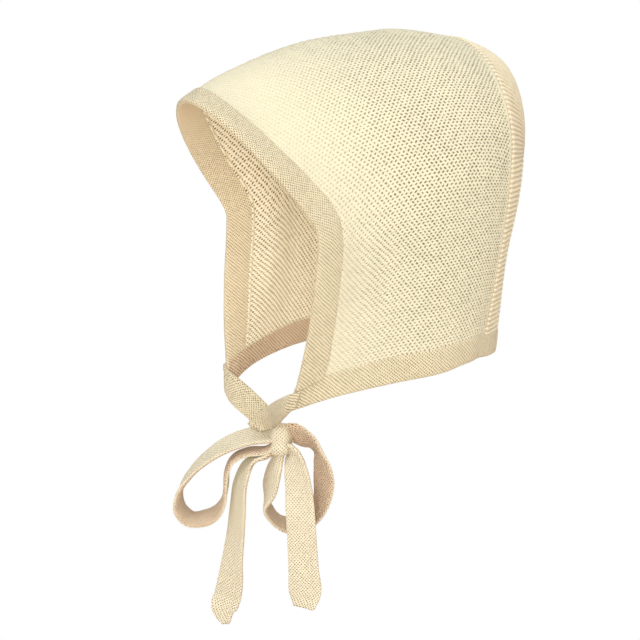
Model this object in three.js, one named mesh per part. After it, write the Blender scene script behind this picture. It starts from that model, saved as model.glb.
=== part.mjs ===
// A knitted baby bonnet in its worn form, tied with a bow under the chin.
// Millimetres. The wearer looks along -Y, the wearer's left is +X and up is +Z.
// The origin is where the top of the head touches the inside of the crown.
import * as THREE from "three";

// The bonnet as a whole
const DEPTH = 184; // tip of the brim to the back of the head
const HALF_WIDTH = 60; // middle to the widest place of a side
const HEIGHT = 177; // top of the crown to the front corners

// Knit walls, bands and ties
const CROWN_WALL = 2;
const BAND_WALL = 3; // the bands are knitted double
const BAND_PROUD = 0.5; // how far a band stands out over the crown
const FRONT_BAND = 15; // width of the band round the face
const NECK_BAND = 13; // width of the band round the neck
const TIE_WIDTH = 15;
const TIE_WALL = 2.4;
const SEAM_RIDGE = 0.8; // how far the back seam stands out
const GAP = 0.3; // clearance between two knitted pieces

// The bow
const BOW_TURN = THREE.MathUtils.degToRad(50); // turned from straight ahead to the wearer's left
const KNOT_DROP = 20; // front corners down to the middle of the knot
const KNOT_BACK = 12.5; // front corners back to the middle of the knot
const KNOT_WIDTH = 9.2;
const KNOT_HEIGHT = 13.8;
const KNOT_DEPTH = 13;
const KNOT_BELOW = 0.6; // share of its height that lies below the middle
const KNOT_ROUND = 0.7; // 1 for an oval seen from above, less for a fuller one
const LEFT_LOOP = 52; // reach of each loop from the middle of the knot
const RIGHT_LOOP = 47;
const LEFT_END = 98; // reach of each hanging end
const RIGHT_END = 86;
const TIE_CLEAR = 1.2; // between the neck band's end and a tie, before the tie curves
const TIE_CURVE = 0.25; // how far a tie keeps its heading at each end, as a share of its reach
const CORNER_STEP = 0.1; // of v, over which the neck band's heading at the front corner is taken

// Fineness of the facets
const ARCH_STEPS = 44; // hem to hem over the head, an even number
const CROWN_STEPS = 12;
const BAND_STEPS = 3;
const NAPE_STEPS = 14;
const BEND_STEPS = 12; // of a tie between the neck band and the knot
const LOOP_STEPS = 30;
const END_STEPS = 16;
const KNOT_SIDES = 16;
const FINE = 60; // samples when a length is measured along the knit
const SLOPE_STEP = 0.001; // of u or v, when a slope is measured

// Shape of the arches and of the back
const BACK_WRAP = THREE.MathUtils.degToRad(51); // half of the arc that the back panel turns through

// Arches over the head, from the brim (at 0) to the back seam (at 1).
// Each y is a share of DEPTH, each z of HEIGHT, and wideX and sway are shares of HALF_WIDTH.
// sway leans the top to the wearer's left, round is 2 for an ellipse, bend is the softness of
// the turn at the widest place, and tuck is how late the side turns in below it.
const ARCHES = [
  {
    at: 0, topY: -0.592, topZ: -0.173, sway: 0.33, wideX: 0.861, wideY: -0.313, wideZ: -0.532,
    round: 1.99, bend: 0.12, tuck: 2.5,
  },
  {
    at: 0.2, topY: -0.461, topZ: -0.114, sway: 0.075, wideX: 0.807, wideY: -0.186, wideZ: -0.563,
    round: 1.9, bend: 0.24, tuck: 2,
  },
  {
    at: 0.43, topY: -0.205, topZ: -0.026, sway: 0, wideX: 0.917, wideY: -0.092, wideZ: -0.514,
    round: 1.9, bend: 0.35, tuck: 1.8,
  },
  {
    at: 0.64, topY: 0, topZ: 0, sway: 0, wideX: 1, wideY: 0.035, wideZ: -0.458,
    round: 2, bend: 0.35, tuck: 1.8,
  },
  {
    at: 0.85, topY: 0.109, topZ: -0.002, sway: 0, wideX: 0.983, wideY: 0.168, wideZ: -0.379,
    round: 2.15, bend: 0.35, tuck: 1.8,
  },
  {
    at: 1, topY: 0.212, topZ: -0.017, sway: 0, wideX: 0.908, wideY: 0.242, wideZ: -0.316,
    round: 2.25, bend: 0.35, tuck: 1.8,
  },
];

// The lower edge of the bonnet, front corner (at 0) to back seam (at 1), in the same shares.
const HEM = [
  { at: 0, x: 0.575, y: -0.353, z: -1 },
  { at: 0.2, x: 0.772, y: -0.262, z: -0.958 },
  { at: 0.43, x: 0.933, y: -0.12, z: -0.924 },
  { at: 0.64, x: 0.992, y: 0.006, z: -0.907 },
  { at: 0.85, x: 0.917, y: 0.114, z: -0.89 },
  { at: 1, x: 0.783, y: 0.177, z: -0.887 },
];

// Middle of the back panel beside the seam at the same row, top (at 0) to hem (at 1).
// out is how far it stands behind the seam, as a share of DEPTH; lift, of HEIGHT.
const BACK = [
  { at: 0, out: 0, lift: 0 },
  { at: 0.12, out: 0.085, lift: -0.004 },
  { at: 0.3, out: 0.158, lift: 0.017 },
  { at: 0.5, out: 0.167, lift: -0.006 },
  { at: 0.75, out: 0.136, lift: -0.02 },
  { at: 1, out: 0.163, lift: -0.017 },
];

// Ribbons of the bow, from the knot outwards. across, up and out are shares of the ribbon's reach:
// to the right, up and towards the viewer of the bow. tilt turns the ribbon's width from
// edge on (0) to face on (90), and width is a share of TIE_WIDTH.
const LEFT_LOOP_PATH = [
  { across: -0.11, up: -0.01, out: 0, tilt: 26, width: 0.66 },
  { across: -0.28, up: -0.02, out: 0, tilt: 26, width: 0.88 },
  { across: -0.5, up: -0.1, out: 0.01, tilt: 24, width: 0.96 },
  { across: -0.7, up: -0.23, out: 0.01, tilt: 19, width: 0.98 },
  { across: -0.87, up: -0.39, out: 0.02, tilt: 14, width: 0.98 },
  { across: -1, up: -0.61, out: 0.02, tilt: 7, width: 0.98 },
  { across: -0.99, up: -0.77, out: 0.01, tilt: -4, width: 0.98 },
  { across: -0.91, up: -0.85, out: 0, tilt: -10, width: 0.98 },
  { across: -0.79, up: -0.85, out: -0.02, tilt: -19, width: 0.98 },
  { across: -0.67, up: -0.8, out: -0.03, tilt: -21, width: 0.98 },
  { across: -0.59, up: -0.69, out: -0.04, tilt: -17, width: 0.98 },
  { across: -0.56, up: -0.54, out: -0.04, tilt: -12, width: 0.98 },
  { across: -0.54, up: -0.37, out: -0.03, tilt: -13, width: 0.95 },
  { across: -0.48, up: -0.25, out: -0.02, tilt: -11, width: 0.9 },
  { across: -0.35, up: -0.17, out: -0.01, tilt: -8, width: 0.8 },
  { across: -0.11, up: -0.12, out: 0, tilt: -5, width: 0.66 },
];
const RIGHT_LOOP_PATH = [
  { across: 0.15, up: 0.056, out: 0, tilt: 62, width: 0.8 },
  { across: 0.19, up: 0.038, out: 0, tilt: 58, width: 0.88 },
  { across: 0.247, up: 0.009, out: 0, tilt: 51, width: 0.95 },
  { across: 0.334, up: -0.035, out: 0, tilt: 39, width: 0.98 },
  { across: 0.409, up: -0.133, out: 0, tilt: 28, width: 0.98 },
  { across: 0.449, up: -0.272, out: -0.01, tilt: 43, width: 0.98 },
  { across: 0.466, up: -0.455, out: -0.03, tilt: 53, width: 0.98 },
  { across: 0.437, up: -0.664, out: -0.06, tilt: 43, width: 0.98 },
  { across: 0.347, up: -0.855, out: -0.11, tilt: 30, width: 0.98 },
  { across: 0.194, up: -0.983, out: -0.14, tilt: 20, width: 0.98 },
  { across: 0.035, up: -0.997, out: -0.13, tilt: 12, width: 0.98 },
  { across: -0.092, up: -0.933, out: -0.1, tilt: 0, width: 0.98 },
  { across: -0.168, up: -0.791, out: -0.05, tilt: -4, width: 0.98 },
  { across: -0.139, up: -0.593, out: -0.02, tilt: -37, width: 0.98 },
  { across: -0.086, up: -0.386, out: 0, tilt: -41, width: 0.9 },
  { across: -0.038, up: -0.235, out: 0, tilt: -42, width: 0.62 },
];
const LEFT_END_PATH = [
  { across: -0.072, up: -0.105, out: 0, tilt: 1, width: 0.62 },
  { across: -0.128, up: -0.121, out: 0.01, tilt: 11, width: 0.74 },
  { across: -0.168, up: -0.163, out: 0.01, tilt: 27, width: 0.88 },
  { across: -0.2, up: -0.245, out: 0.02, tilt: 36, width: 0.97 },
  { across: -0.215, up: -0.372, out: 0.02, tilt: 42, width: 1 },
  { across: -0.23, up: -0.525, out: 0.02, tilt: 47, width: 1 },
  { across: -0.247, up: -0.654, out: 0.02, tilt: 55, width: 1 },
  { across: -0.261, up: -0.758, out: 0.01, tilt: 68, width: 1 },
  { across: -0.281, up: -0.852, out: 0, tilt: 74, width: 1 },
  { across: -0.305, up: -0.925, out: 0, tilt: 77, width: 0.9 },
  { across: -0.291, up: -1, out: 0, tilt: 76, width: 0.28 },
];
const RIGHT_END_PATH = [
  { across: 0.087, up: -0.09, out: 0.02, tilt: 34, width: 0.6 },
  { across: 0.1, up: -0.128, out: 0.04, tilt: 55, width: 0.8 },
  { across: 0.11, up: -0.178, out: 0.06, tilt: 64, width: 0.92 },
  { across: 0.125, up: -0.28, out: 0.07, tilt: 72, width: 1 },
  { across: 0.135, up: -0.412, out: 0.08, tilt: 85, width: 1 },
  { across: 0.143, up: -0.587, out: 0.07, tilt: 85, width: 1 },
  { across: 0.149, up: -0.752, out: 0.06, tilt: 89, width: 1.02 },
  { across: 0.155, up: -0.922, out: 0.05, tilt: 86, width: 1.04 },
  { across: 0.149, up: -0.992, out: 0.05, tilt: 76, width: 0.74 },
];

// Rings of the knot from bottom (at 0) to top (at 1), as shares of its width and depth.
const KNOT_RINGS = [
  { at: 0, size: 0.62 },
  { at: 0.08, size: 0.82 },
  { at: 0.3, size: 1 },
  { at: 0.6, size: 0.96 },
  { at: 0.88, size: 0.84 },
  { at: 1, size: 0.62 },
];

// Where each tie reaches the knot, as shares of TIE_WIDTH from the middle of the knot. heading is
// its direction there in degrees, from straight across (0) to straight up (90).
const TIE_MEETS = {
  left: { across: -0.66, up: 0.45, out: 0.43, heading: 215, width: 0.72 },
  right: { across: -0.58, up: 0.57, out: -0.03, heading: 307, width: 0.8 },
};

// Section of a ribbon with its corners cut, as shares of its width and of its thickness.
const RIBBON_SECTION = [
  { wide: -0.5, thick: -0.2 },
  { wide: -0.46, thick: -0.5 },
  { wide: 0.46, thick: -0.5 },
  { wide: 0.5, thick: -0.2 },
  { wide: 0.5, thick: 0.2 },
  { wide: 0.46, thick: 0.5 },
  { wide: -0.46, thick: 0.5 },
  { wide: -0.5, thick: 0.2 },
];

// A smooth blend between the rows of a table, at a value of its at column.
function rowAt(table, at) {
  const last = table.length - 1;
  const x = THREE.MathUtils.clamp(at, table[0].at, table[last].at);
  let k = 0;
  while (k < last - 1 && x > table[k + 1].at) k += 1;
  const step = (i) => table[i + 1].at - table[i].at;
  const t = (x - table[k].at) / step(k);
  const row = {};
  for (const column of Object.keys(table[0])) {
    const rise = (i) => (table[i + 1][column] - table[i][column]) / step(i);
    const slope = (i) => {
      if (i === 0) return rise(0);
      if (i === last) return rise(last - 1);
      return (rise(i - 1) * step(i) + rise(i) * step(i - 1)) / (step(i - 1) + step(i));
    };
    row[column] =
      (1 + 2 * t) * (1 - t) ** 2 * table[k][column] +
      t * (1 - t) ** 2 * step(k) * slope(k) +
      t * t * (3 - 2 * t) * table[k + 1][column] +
      t * t * (t - 1) * step(k) * slope(k + 1);
  }
  return row;
}

// Runs from 0 to 1 with t, in a straight line but for a soft start.
function eased(t, softness) {
  return (Math.hypot(t, softness) - softness) / (Math.hypot(1, softness) - softness);
}

// A point of the bonnet's outer face: q runs from one hem (-1) over the top (0) to the other (1),
// v from the front edge (0) to the back seam (1).
function crownPoint(q, v) {
  const arch = rowAt(ARCHES, v);
  const hem = rowAt(HEM, v);
  const [topY, wideY, hemY] = [arch.topY * DEPTH, arch.wideY * DEPTH, hem.y * DEPTH];
  const [topZ, wideZ, hemZ] = [arch.topZ * HEIGHT, arch.wideZ * HEIGHT, hem.z * HEIGHT];
  const [wideX, hemX, sway] = [arch.wideX, hem.x, arch.sway].map((x) => x * HALF_WIDTH);
  const upper = (Math.PI / 2) * Math.hypot(wideX, topZ - wideZ) * Math.SQRT1_2;
  const lower = Math.hypot(wideZ - hemZ, wideX - hemX);
  const turn = upper / (upper + lower);
  const side = Math.sign(q);
  const along = Math.abs(q);
  const point = new THREE.Vector3();
  if (along <= turn) {
    const angle = (along / turn) * (Math.PI / 2);
    const rise = Math.max(Math.cos(angle), 0) ** (2 / arch.round);
    point.set(
      side * wideX * Math.sin(angle) ** (2 / arch.round) + sway * Math.cos(angle) ** 2,
      wideY + (topY - wideY) * eased(rise, arch.bend),
      wideZ + (topZ - wideZ) * rise,
    );
  } else {
    const t = (along - turn) / (1 - turn);
    point.set(
      side * (wideX + (hemX - wideX) * t ** arch.tuck),
      wideY + (hemY - wideY) * eased(t, arch.bend),
      wideZ + (hemZ - wideZ) * t,
    );
  }
  point.z += CROWN_WALL;
  return point;
}

// A point of the back panel's outer face: a runs across it from seam (-1) to seam (1),
// h down the seam from the top (0) to the hem (1).
function backPoint(a, h) {
  const seam = crownPoint(h, 1);
  const { out, lift } = rowAt(BACK, h);
  const swell = (Math.cos(a * BACK_WRAP) - Math.cos(BACK_WRAP)) / (1 - Math.cos(BACK_WRAP));
  return new THREE.Vector3(
    (seam.x / Math.sin(BACK_WRAP)) * Math.sin(a * BACK_WRAP),
    seam.y + out * DEPTH * swell,
    seam.z + lift * HEIGHT * swell,
  );
}

// The share t between 0 and 1 at which the line point(t) has run the given length.
function shareAtLength(point, length) {
  let [run, before] = [0, point(0)];
  for (let i = 1; i <= FINE; i += 1) {
    const here = point(i / FINE);
    const step = here.distanceTo(before);
    if (run + step >= length) return (i - 1 + (length - run) / step) / FINE;
    run += step;
    before = here;
  }
  return 1;
}

// The q of the point that lies a given height above the hem, measured along the knit.
function aboveHem(v, height) {
  return 1 - shareAtLength((t) => crownPoint(1 - t, v), height);
}

// The v of the point that lies a given width behind the front edge, at a share s of the arch.
function behindFront(s, width) {
  return shareAtLength((t) => crownPoint(s * aboveHem(t, NECK_BAND), t), width);
}

// The v that leaves the given clearance before the back seam.
function beforeSeam(s, clearance) {
  return 1 - shareAtLength((t) => crownPoint(s * aboveHem(1 - t, NECK_BAND), 1 - t), clearance);
}

// Evenly spaced numbers from first to last.
function spread(first, last, steps) {
  return Array.from({ length: steps + 1 }, (_, i) => first + ((last - first) * i) / steps);
}

// The unit normal of a surface point(u, v), on the side that u crossed with v gives.
function normalOf(surface, u, v) {
  const [before, after] = [Math.max(v - SLOPE_STEP, 0), Math.min(v + SLOPE_STEP, 1)];
  const across = surface(u + SLOPE_STEP, v).sub(surface(u - SLOPE_STEP, v));
  const along = surface(u, after).sub(surface(u, before));
  return across.cross(along).normalize();
}

// The normal that the crown and the back share on the seam, at the crown's q.
function seamNormal(q) {
  const h = Math.abs(q);
  const normal = normalOf(crownPoint, h, 1).add(normalOf(backPoint, 1, h)).normalize();
  if (q < 0) normal.x *= -1;
  return normal;
}

// Places of the outer face with their normals, for the crown and for the back.
function crownCell(q, v) {
  return { point: crownPoint(q, v), normal: normalOf(crownPoint, q, v) };
}

function backCell(a, h) {
  return { point: backPoint(a, h), normal: normalOf(backPoint, a, h) };
}

// A closed geometry from a list of points and faces, turned so that its faces look outwards.
function closedGeometry(points, faces) {
  let volume = 0;
  for (const [a, b, c] of faces) {
    volume += new THREE.Vector3().crossVectors(points[b], points[c]).dot(points[a]);
  }
  const index = faces.flatMap(([a, b, c]) => (volume < 0 ? [a, c, b] : [a, b, c]));
  const geometry = new THREE.BufferGeometry().setFromPoints(points);
  geometry.setIndex(index);
  geometry.computeVertexNormals();
  return geometry;
}

// A wall of knit on a grid of cells. out(i, j) is how far its outer face stands out from the
// grid, and inward is how far its inner face stands in from it.
function wall(grid, out, inward) {
  const rows = grid.length;
  const columns = grid[0].length;
  const face = (distance) =>
    grid.flatMap((row, i) =>
      row.map((cell, j) => cell.point.clone().addScaledVector(cell.normal, distance(i, j))),
    );
  const points = [...face(out), ...face(() => -inward)];
  const outer = (i, j) => i * columns + j;
  const inner = (i, j) => rows * columns + i * columns + j;
  const faces = [];
  const quad = (a, b, c, d) => faces.push([a, b, c], [a, c, d]);
  for (let i = 0; i < rows - 1; i += 1) {
    for (let j = 0; j < columns - 1; j += 1) {
      quad(outer(i, j), outer(i, j + 1), outer(i + 1, j + 1), outer(i + 1, j));
      quad(inner(i, j), inner(i + 1, j), inner(i + 1, j + 1), inner(i, j + 1));
    }
  }
  const rim = [];
  for (let j = 0; j < columns - 1; j += 1) rim.push([0, j]);
  for (let i = 0; i < rows - 1; i += 1) rim.push([i, columns - 1]);
  for (let j = columns - 1; j > 0; j -= 1) rim.push([rows - 1, j]);
  for (let i = rows - 1; i > 0; i -= 1) rim.push([i, 0]);
  rim.forEach(([i, j], k) => {
    const [m, n] = rim[(k + 1) % rim.length];
    quad(outer(i, j), inner(i, j), inner(m, n), outer(m, n));
  });
  return closedGeometry(points, faces);
}

// A ribbon along stations of { centre, side, width }, side being the way its width runs.
function ribbon(stations) {
  const points = [];
  const faces = [];
  const last = stations.length - 1;
  stations.forEach(({ centre, side, width }, i) => {
    const ahead = stations[Math.min(i + 1, last)].centre;
    const behind = stations[Math.max(i - 1, 0)].centre;
    const along = new THREE.Vector3().subVectors(ahead, behind).normalize();
    const face = new THREE.Vector3().crossVectors(along, side).normalize();
    for (const { wide, thick } of RIBBON_SECTION) {
      points.push(
        centre.clone().addScaledVector(side, wide * width).addScaledVector(face, thick * TIE_WALL),
      );
    }
  });
  const n = RIBBON_SECTION.length;
  for (let i = 0; i < last; i += 1) {
    for (let k = 0; k < n; k += 1) {
      const [a, b] = [i * n + k, i * n + ((k + 1) % n)];
      faces.push([a, b, b + n], [a, b + n, a + n]);
    }
  }
  for (let k = 1; k < n - 1; k += 1) {
    faces.push([0, k + 1, k], [last * n, last * n + k, last * n + k + 1]);
  }
  return closedGeometry(points, faces);
}

// The bow's own axes: right and towards the viewer of the bow, and the middle of its knot.
const ACROSS = new THREE.Vector3(Math.cos(BOW_TURN), Math.sin(BOW_TURN), 0);
const OUT = new THREE.Vector3(Math.sin(BOW_TURN), -Math.cos(BOW_TURN), 0);
const UP = new THREE.Vector3(0, 0, 1);
const FRONT_CORNER = crownPoint(1, 0);
const KNOT = new THREE.Vector3(0, FRONT_CORNER.y + KNOT_BACK, FRONT_CORNER.z - KNOT_DROP);

function bowPoint(across, up, out) {
  return KNOT.clone()
    .addScaledVector(ACROSS, across)
    .addScaledVector(UP, up)
    .addScaledVector(OUT, out);
}

// The stations of a loop or a hanging end, from its table of shares of the given reach.
function bowStations(path, reach, steps) {
  let run = 0;
  const table = path.map((row, i) => {
    const before = path[Math.max(i - 1, 0)];
    run += Math.hypot(row.across - before.across, row.up - before.up, row.out - before.out);
    return { at: run, ...row };
  });
  const rows = spread(0, run, steps).map((at) => rowAt(table, at));
  return rows.map((row, i) => {
    const ahead = rows[Math.min(i + 1, steps)];
    const behind = rows[Math.max(i - 1, 0)];
    const [going, rise] = [ahead.across - behind.across, ahead.up - behind.up];
    const length = Math.hypot(going, rise);
    const tilt = THREE.MathUtils.degToRad(row.tilt);
    const side = OUT.clone()
      .multiplyScalar(Math.cos(tilt))
      .addScaledVector(ACROSS, (-rise / length) * Math.sin(tilt))
      .addScaledVector(UP, (going / length) * Math.sin(tilt));
    return {
      centre: bowPoint(row.across * reach, row.up * reach, row.out * reach),
      side,
      width: row.width * TIE_WIDTH,
    };
  });
}

// The stations of a tie that runs on from the neck band's end to the knot.
function tieStations(side, meets) {
  const q = aboveHem(0, NECK_BAND);
  const [hem, top] = [crownPoint(side, 0), crownPoint(side * q, 0)];
  const middle = (v) => crownPoint(side, v).add(crownPoint(side * aboveHem(v, NECK_BAND), v));
  const start = middle(0).multiplyScalar(0.5);
  const heading = new THREE.Vector3().subVectors(middle(0), middle(CORNER_STEP)).normalize();
  start.addScaledVector(heading, TIE_CLEAR);
  start.addScaledVector(normalOf(crownPoint, side, 0), BAND_PROUD - BAND_WALL / 2);
  const end = bowPoint(meets.across * TIE_WIDTH, meets.up * TIE_WIDTH, meets.out * TIE_WIDTH);
  const turn = THREE.MathUtils.degToRad(meets.heading);
  const arrival = ACROSS.clone()
    .multiplyScalar(Math.cos(turn))
    .addScaledVector(UP, Math.sin(turn));
  const pull = start.distanceTo(end) * TIE_CURVE;
  const curve = new THREE.CubicBezierCurve3(
    start,
    start.clone().addScaledVector(heading, pull),
    end.clone().addScaledVector(arrival, -pull),
    end,
  );
  const first = new THREE.Vector3().subVectors(top, hem).normalize();
  const last = ACROSS.clone()
    .multiplyScalar(-Math.sin(turn))
    .addScaledVector(UP, Math.cos(turn));
  if (last.dot(first) < 0) last.negate();
  return spread(0, 1, BEND_STEPS).map((t) => ({
    centre: curve.getPoint(t),
    side: first.clone().lerp(last, THREE.MathUtils.smoothstep(t, 0, 1)).normalize(),
    width: THREE.MathUtils.lerp(NECK_BAND, meets.width * TIE_WIDTH, t),
  }));
}

// The v of each column of the front band and of the crown, at a share s of the arch.
function bandColumns(s) {
  return spread(0, behindFront(s, FRONT_BAND), BAND_STEPS);
}

function crownColumns(s) {
  return spread(behindFront(s, FRONT_BAND + 2 * GAP), beforeSeam(s, GAP / 2), CROWN_STEPS);
}

// The textured knit that arches over the head, between the front band and the back seam.
function crownPanel() {
  const grid = spread(-1, 1, ARCH_STEPS).map((s) => {
    const row = crownColumns(s).map((v) => crownCell(s * aboveHem(v, NECK_BAND + 2 * GAP), v));
    row[CROWN_STEPS].normal = seamNormal(s * aboveHem(1, NECK_BAND));
    return row;
  });
  return wall(grid, () => 0, CROWN_WALL);
}

// The knit that closes the back, with a row for each facet of the crown from the top down
// to the neck band. Its edge is raised where it is sewn to the crown.
function backPanel() {
  const rows = ARCH_STEPS / 2;
  const end = aboveHem(1, NECK_BAND);
  const grid = spread(0, end, rows).map((even, i) => {
    let h = even;
    if (i === 0) h = even + SLOPE_STEP * rows;
    if (i === rows) h = aboveHem(1, NECK_BAND + GAP);
    const edge = 1 - GAP / 2 / Math.abs(crownPoint(h, 1).x);
    const row = spread(-edge, edge, NAPE_STEPS).map((a) => backCell(a, h));
    row[0].normal = seamNormal(-h);
    row[NAPE_STEPS].normal = seamNormal(h);
    return row;
  });
  const sewn = (i, j) => j === 0 || j === NAPE_STEPS;
  return wall(grid, (i, j) => (sewn(i, j) ? SEAM_RIDGE : 0), CROWN_WALL);
}

// The double band round the face, ending on the neck band at both corners.
function frontBand() {
  const grid = spread(-1, 1, ARCH_STEPS).map((s) =>
    bandColumns(s).map((v) => crownCell(s * aboveHem(v, NECK_BAND + 2 * GAP), v)),
  );
  return wall(grid, () => BAND_PROUD, BAND_WALL - BAND_PROUD);
}

// The double band round the neck, from one front corner round the nape to the other.
function neckBand() {
  const heights = spread(0, 1, BAND_STEPS - 1);
  const columns = [...bandColumns(1), ...crownColumns(1).slice(1, -1)];
  const side = (sign) =>
    columns.map((v) => {
      const q = aboveHem(v, NECK_BAND);
      return heights.map((t) => crownCell(sign * THREE.MathUtils.lerp(1, q, t), v));
    });
  const end = aboveHem(1, NECK_BAND);
  const nape = spread(1, -1, NAPE_STEPS).map((a) =>
    heights.map((t) => {
      const h = THREE.MathUtils.lerp(1, end, t);
      const cell = backCell(a, h);
      if (Math.abs(a) === 1) cell.normal = seamNormal(a * h);
      return cell;
    }),
  );
  const grid = [...side(1), ...nape, ...side(-1).reverse()];
  return wall(grid, () => BAND_PROUD, BAND_WALL - BAND_PROUD);
}

// The wrap in the middle of the bow.
function knot() {
  const points = [];
  const faces = [];
  for (const { at, size } of KNOT_RINGS) {
    for (let k = 0; k < KNOT_SIDES; k += 1) {
      const angle = (k / KNOT_SIDES) * 2 * Math.PI;
      const round = (x) => Math.sign(x) * Math.abs(x) ** KNOT_ROUND;
      points.push(
        bowPoint(
          (round(Math.cos(angle)) * KNOT_WIDTH * size) / 2,
          KNOT_HEIGHT * (at - KNOT_BELOW),
          (round(Math.sin(angle)) * KNOT_DEPTH * size) / 2,
        ),
      );
    }
  }
  const n = KNOT_SIDES;
  const top = (KNOT_RINGS.length - 1) * n;
  for (let i = 0; i < top; i += n) {
    for (let k = 0; k < n; k += 1) {
      const [a, b] = [i + k, i + ((k + 1) % n)];
      faces.push([a, b, b + n], [a, b + n, a + n]);
    }
  }
  for (let k = 1; k < n - 1; k += 1) {
    faces.push([0, k + 1, k], [top, top + k, top + k + 1]);
  }
  return closedGeometry(points, faces);
}

const cream = (color, roughness) =>
  new THREE.MeshStandardMaterial({ color, roughness, metalness: 0 });
const texturedKnit = () => cream(0xe9ddb9, 0.95);
const smoothKnit = () => cream(0xecdfbd, 0.9);

const bonnet = new THREE.Group();
function add(name, geometry, material) {
  const mesh = new THREE.Mesh(geometry, material);
  mesh.name = name;
  bonnet.add(mesh);
}

add("crown_panel", crownPanel(), texturedKnit());
add("back_panel", backPanel(), texturedKnit());
add("front_band", frontBand(), smoothKnit());
add("neck_band", neckBand(), smoothKnit());
add("tie_left", ribbon(tieStations(1, TIE_MEETS.left)), smoothKnit());
add("tie_right", ribbon(tieStations(-1, TIE_MEETS.right)), smoothKnit());
add("bow_knot", knot(), smoothKnit());
add("bow_loop_left", ribbon(bowStations(LEFT_LOOP_PATH, LEFT_LOOP, LOOP_STEPS)), smoothKnit());
add("bow_loop_right", ribbon(bowStations(RIGHT_LOOP_PATH, RIGHT_LOOP, LOOP_STEPS)), smoothKnit());
add("tie_end_left", ribbon(bowStations(LEFT_END_PATH, LEFT_END, END_STEPS)), smoothKnit());
add("tie_end_right", ribbon(bowStations(RIGHT_END_PATH, RIGHT_END, END_STEPS)), smoothKnit());

export default bonnet;
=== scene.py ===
"""A hand knitted baby bonnet of cream wool, tied in a bow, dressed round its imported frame.

Shapes are worked out in millimetres, as the frame's source has them, and turned to metres when
a mesh is made. The wearer looks along -Y, the wearer's left is +X and up is +Z.
"""
import logging
import math
from dataclasses import dataclass, replace
from enum import Enum

import bpy
import numpy as np
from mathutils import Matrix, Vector


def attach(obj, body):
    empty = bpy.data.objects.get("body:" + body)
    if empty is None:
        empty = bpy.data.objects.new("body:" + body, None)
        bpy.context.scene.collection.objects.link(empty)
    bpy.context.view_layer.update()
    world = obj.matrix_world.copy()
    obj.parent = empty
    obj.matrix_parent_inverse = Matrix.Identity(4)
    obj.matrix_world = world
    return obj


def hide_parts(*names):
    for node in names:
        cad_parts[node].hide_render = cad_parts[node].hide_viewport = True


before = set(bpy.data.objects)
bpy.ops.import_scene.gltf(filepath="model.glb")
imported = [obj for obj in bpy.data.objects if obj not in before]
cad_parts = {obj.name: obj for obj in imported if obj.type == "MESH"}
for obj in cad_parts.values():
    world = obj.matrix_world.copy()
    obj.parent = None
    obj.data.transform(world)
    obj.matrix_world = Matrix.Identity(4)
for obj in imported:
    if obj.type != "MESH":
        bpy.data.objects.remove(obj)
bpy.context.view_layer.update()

LOG = logging.getLogger("bonnet")
MM = 0.001
UV_NAME = "knit"
OPEN_NAME = "open"
TURN = 2 * math.pi


class Stitch(Enum):
    """The knitted patterns of the bonnet."""

    OPEN = "open"
    RIB = "rib"


class Table:
    """Rows of named columns with a smooth blend between them."""

    def __init__(self, columns: str, *rows: tuple[float, ...]) -> None:
        """Keeps the rows. The first column is the place along the table."""
        self.columns = columns.split()
        self.rows = np.array(rows, float)

    def at(self, places: np.ndarray) -> dict[str, np.ndarray]:
        """Blends the rows.

        Args:
            places: values of the first column.

        Returns:
            One array for each column.
        """
        knots = self.rows[:, 0]
        step = np.diff(knots)[:, None]
        rise = np.diff(self.rows, axis=0) / step
        inner = (rise[:-1] * step[1:] + rise[1:] * step[:-1]) / (step[:-1] + step[1:])
        slope = np.vstack([rise[:1], inner, rise[-1:]])
        x = np.clip(np.asarray(places, float), knots[0], knots[-1])
        k = np.clip(np.searchsorted(knots, x, side="right") - 1, 0, len(rise) - 1)
        h = step[k, 0][..., None]
        t = ((x - knots[k]) / step[k, 0])[..., None]
        blend = (
            (1 + 2 * t) * (1 - t) ** 2 * self.rows[k]
            + t * (1 - t) ** 2 * h * slope[k]
            + t * t * (3 - 2 * t) * self.rows[k + 1]
            + t * t * (t - 1) * h * slope[k + 1]
        )
        return {name: blend[..., i] for i, name in enumerate(self.columns)}


# Arches over the head, brim (at 0) to back seam (at 1), as shares of the shell's sizes: y of its
# depth, z of its height, x of its half width. round and tuck are exponents of the curves, and
# bend is how softly they start.
ARCHES = Table(
    "at top_y top_z sway wide_x wide_y wide_z round bend tuck",
    (0.0, -0.592, -0.173, 0.33, 0.861, -0.313, -0.532, 1.99, 0.12, 2.5),
    (0.2, -0.461, -0.114, 0.075, 0.807, -0.186, -0.563, 1.9, 0.24, 2.0),
    (0.43, -0.205, -0.026, 0.0, 0.917, -0.092, -0.514, 1.9, 0.35, 1.8),
    (0.64, 0.0, 0.0, 0.0, 1.0, 0.035, -0.458, 2.0, 0.35, 1.8),
    (0.85, 0.109, -0.002, 0.0, 0.983, 0.168, -0.379, 2.15, 0.35, 1.8),
    (1.0, 0.212, -0.017, 0.0, 0.908, 0.242, -0.316, 2.25, 0.35, 1.8),
)

# The lower edge, front corner (at 0) to back seam (at 1), as the same shares
HEM = Table(
    "at x y z",
    (0.0, 0.575, -0.353, -1.0),
    (0.2, 0.772, -0.262, -0.958),
    (0.43, 0.933, -0.12, -0.924),
    (0.64, 0.992, 0.006, -0.907),
    (0.85, 0.917, 0.114, -0.89),
    (1.0, 0.783, 0.177, -0.887),
)

# How far the middle of the back stands behind the seam and above it, top (at 0) to hem (at 1),
# as shares of the depth and the height
BACK = Table(
    "at out lift",
    (0.0, 0.0, 0.0),
    (0.12, 0.085, -0.004),
    (0.3, 0.158, 0.017),
    (0.5, 0.167, -0.006),
    (0.75, 0.136, -0.02),
    (1.0, 0.163, -0.017),
)

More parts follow.
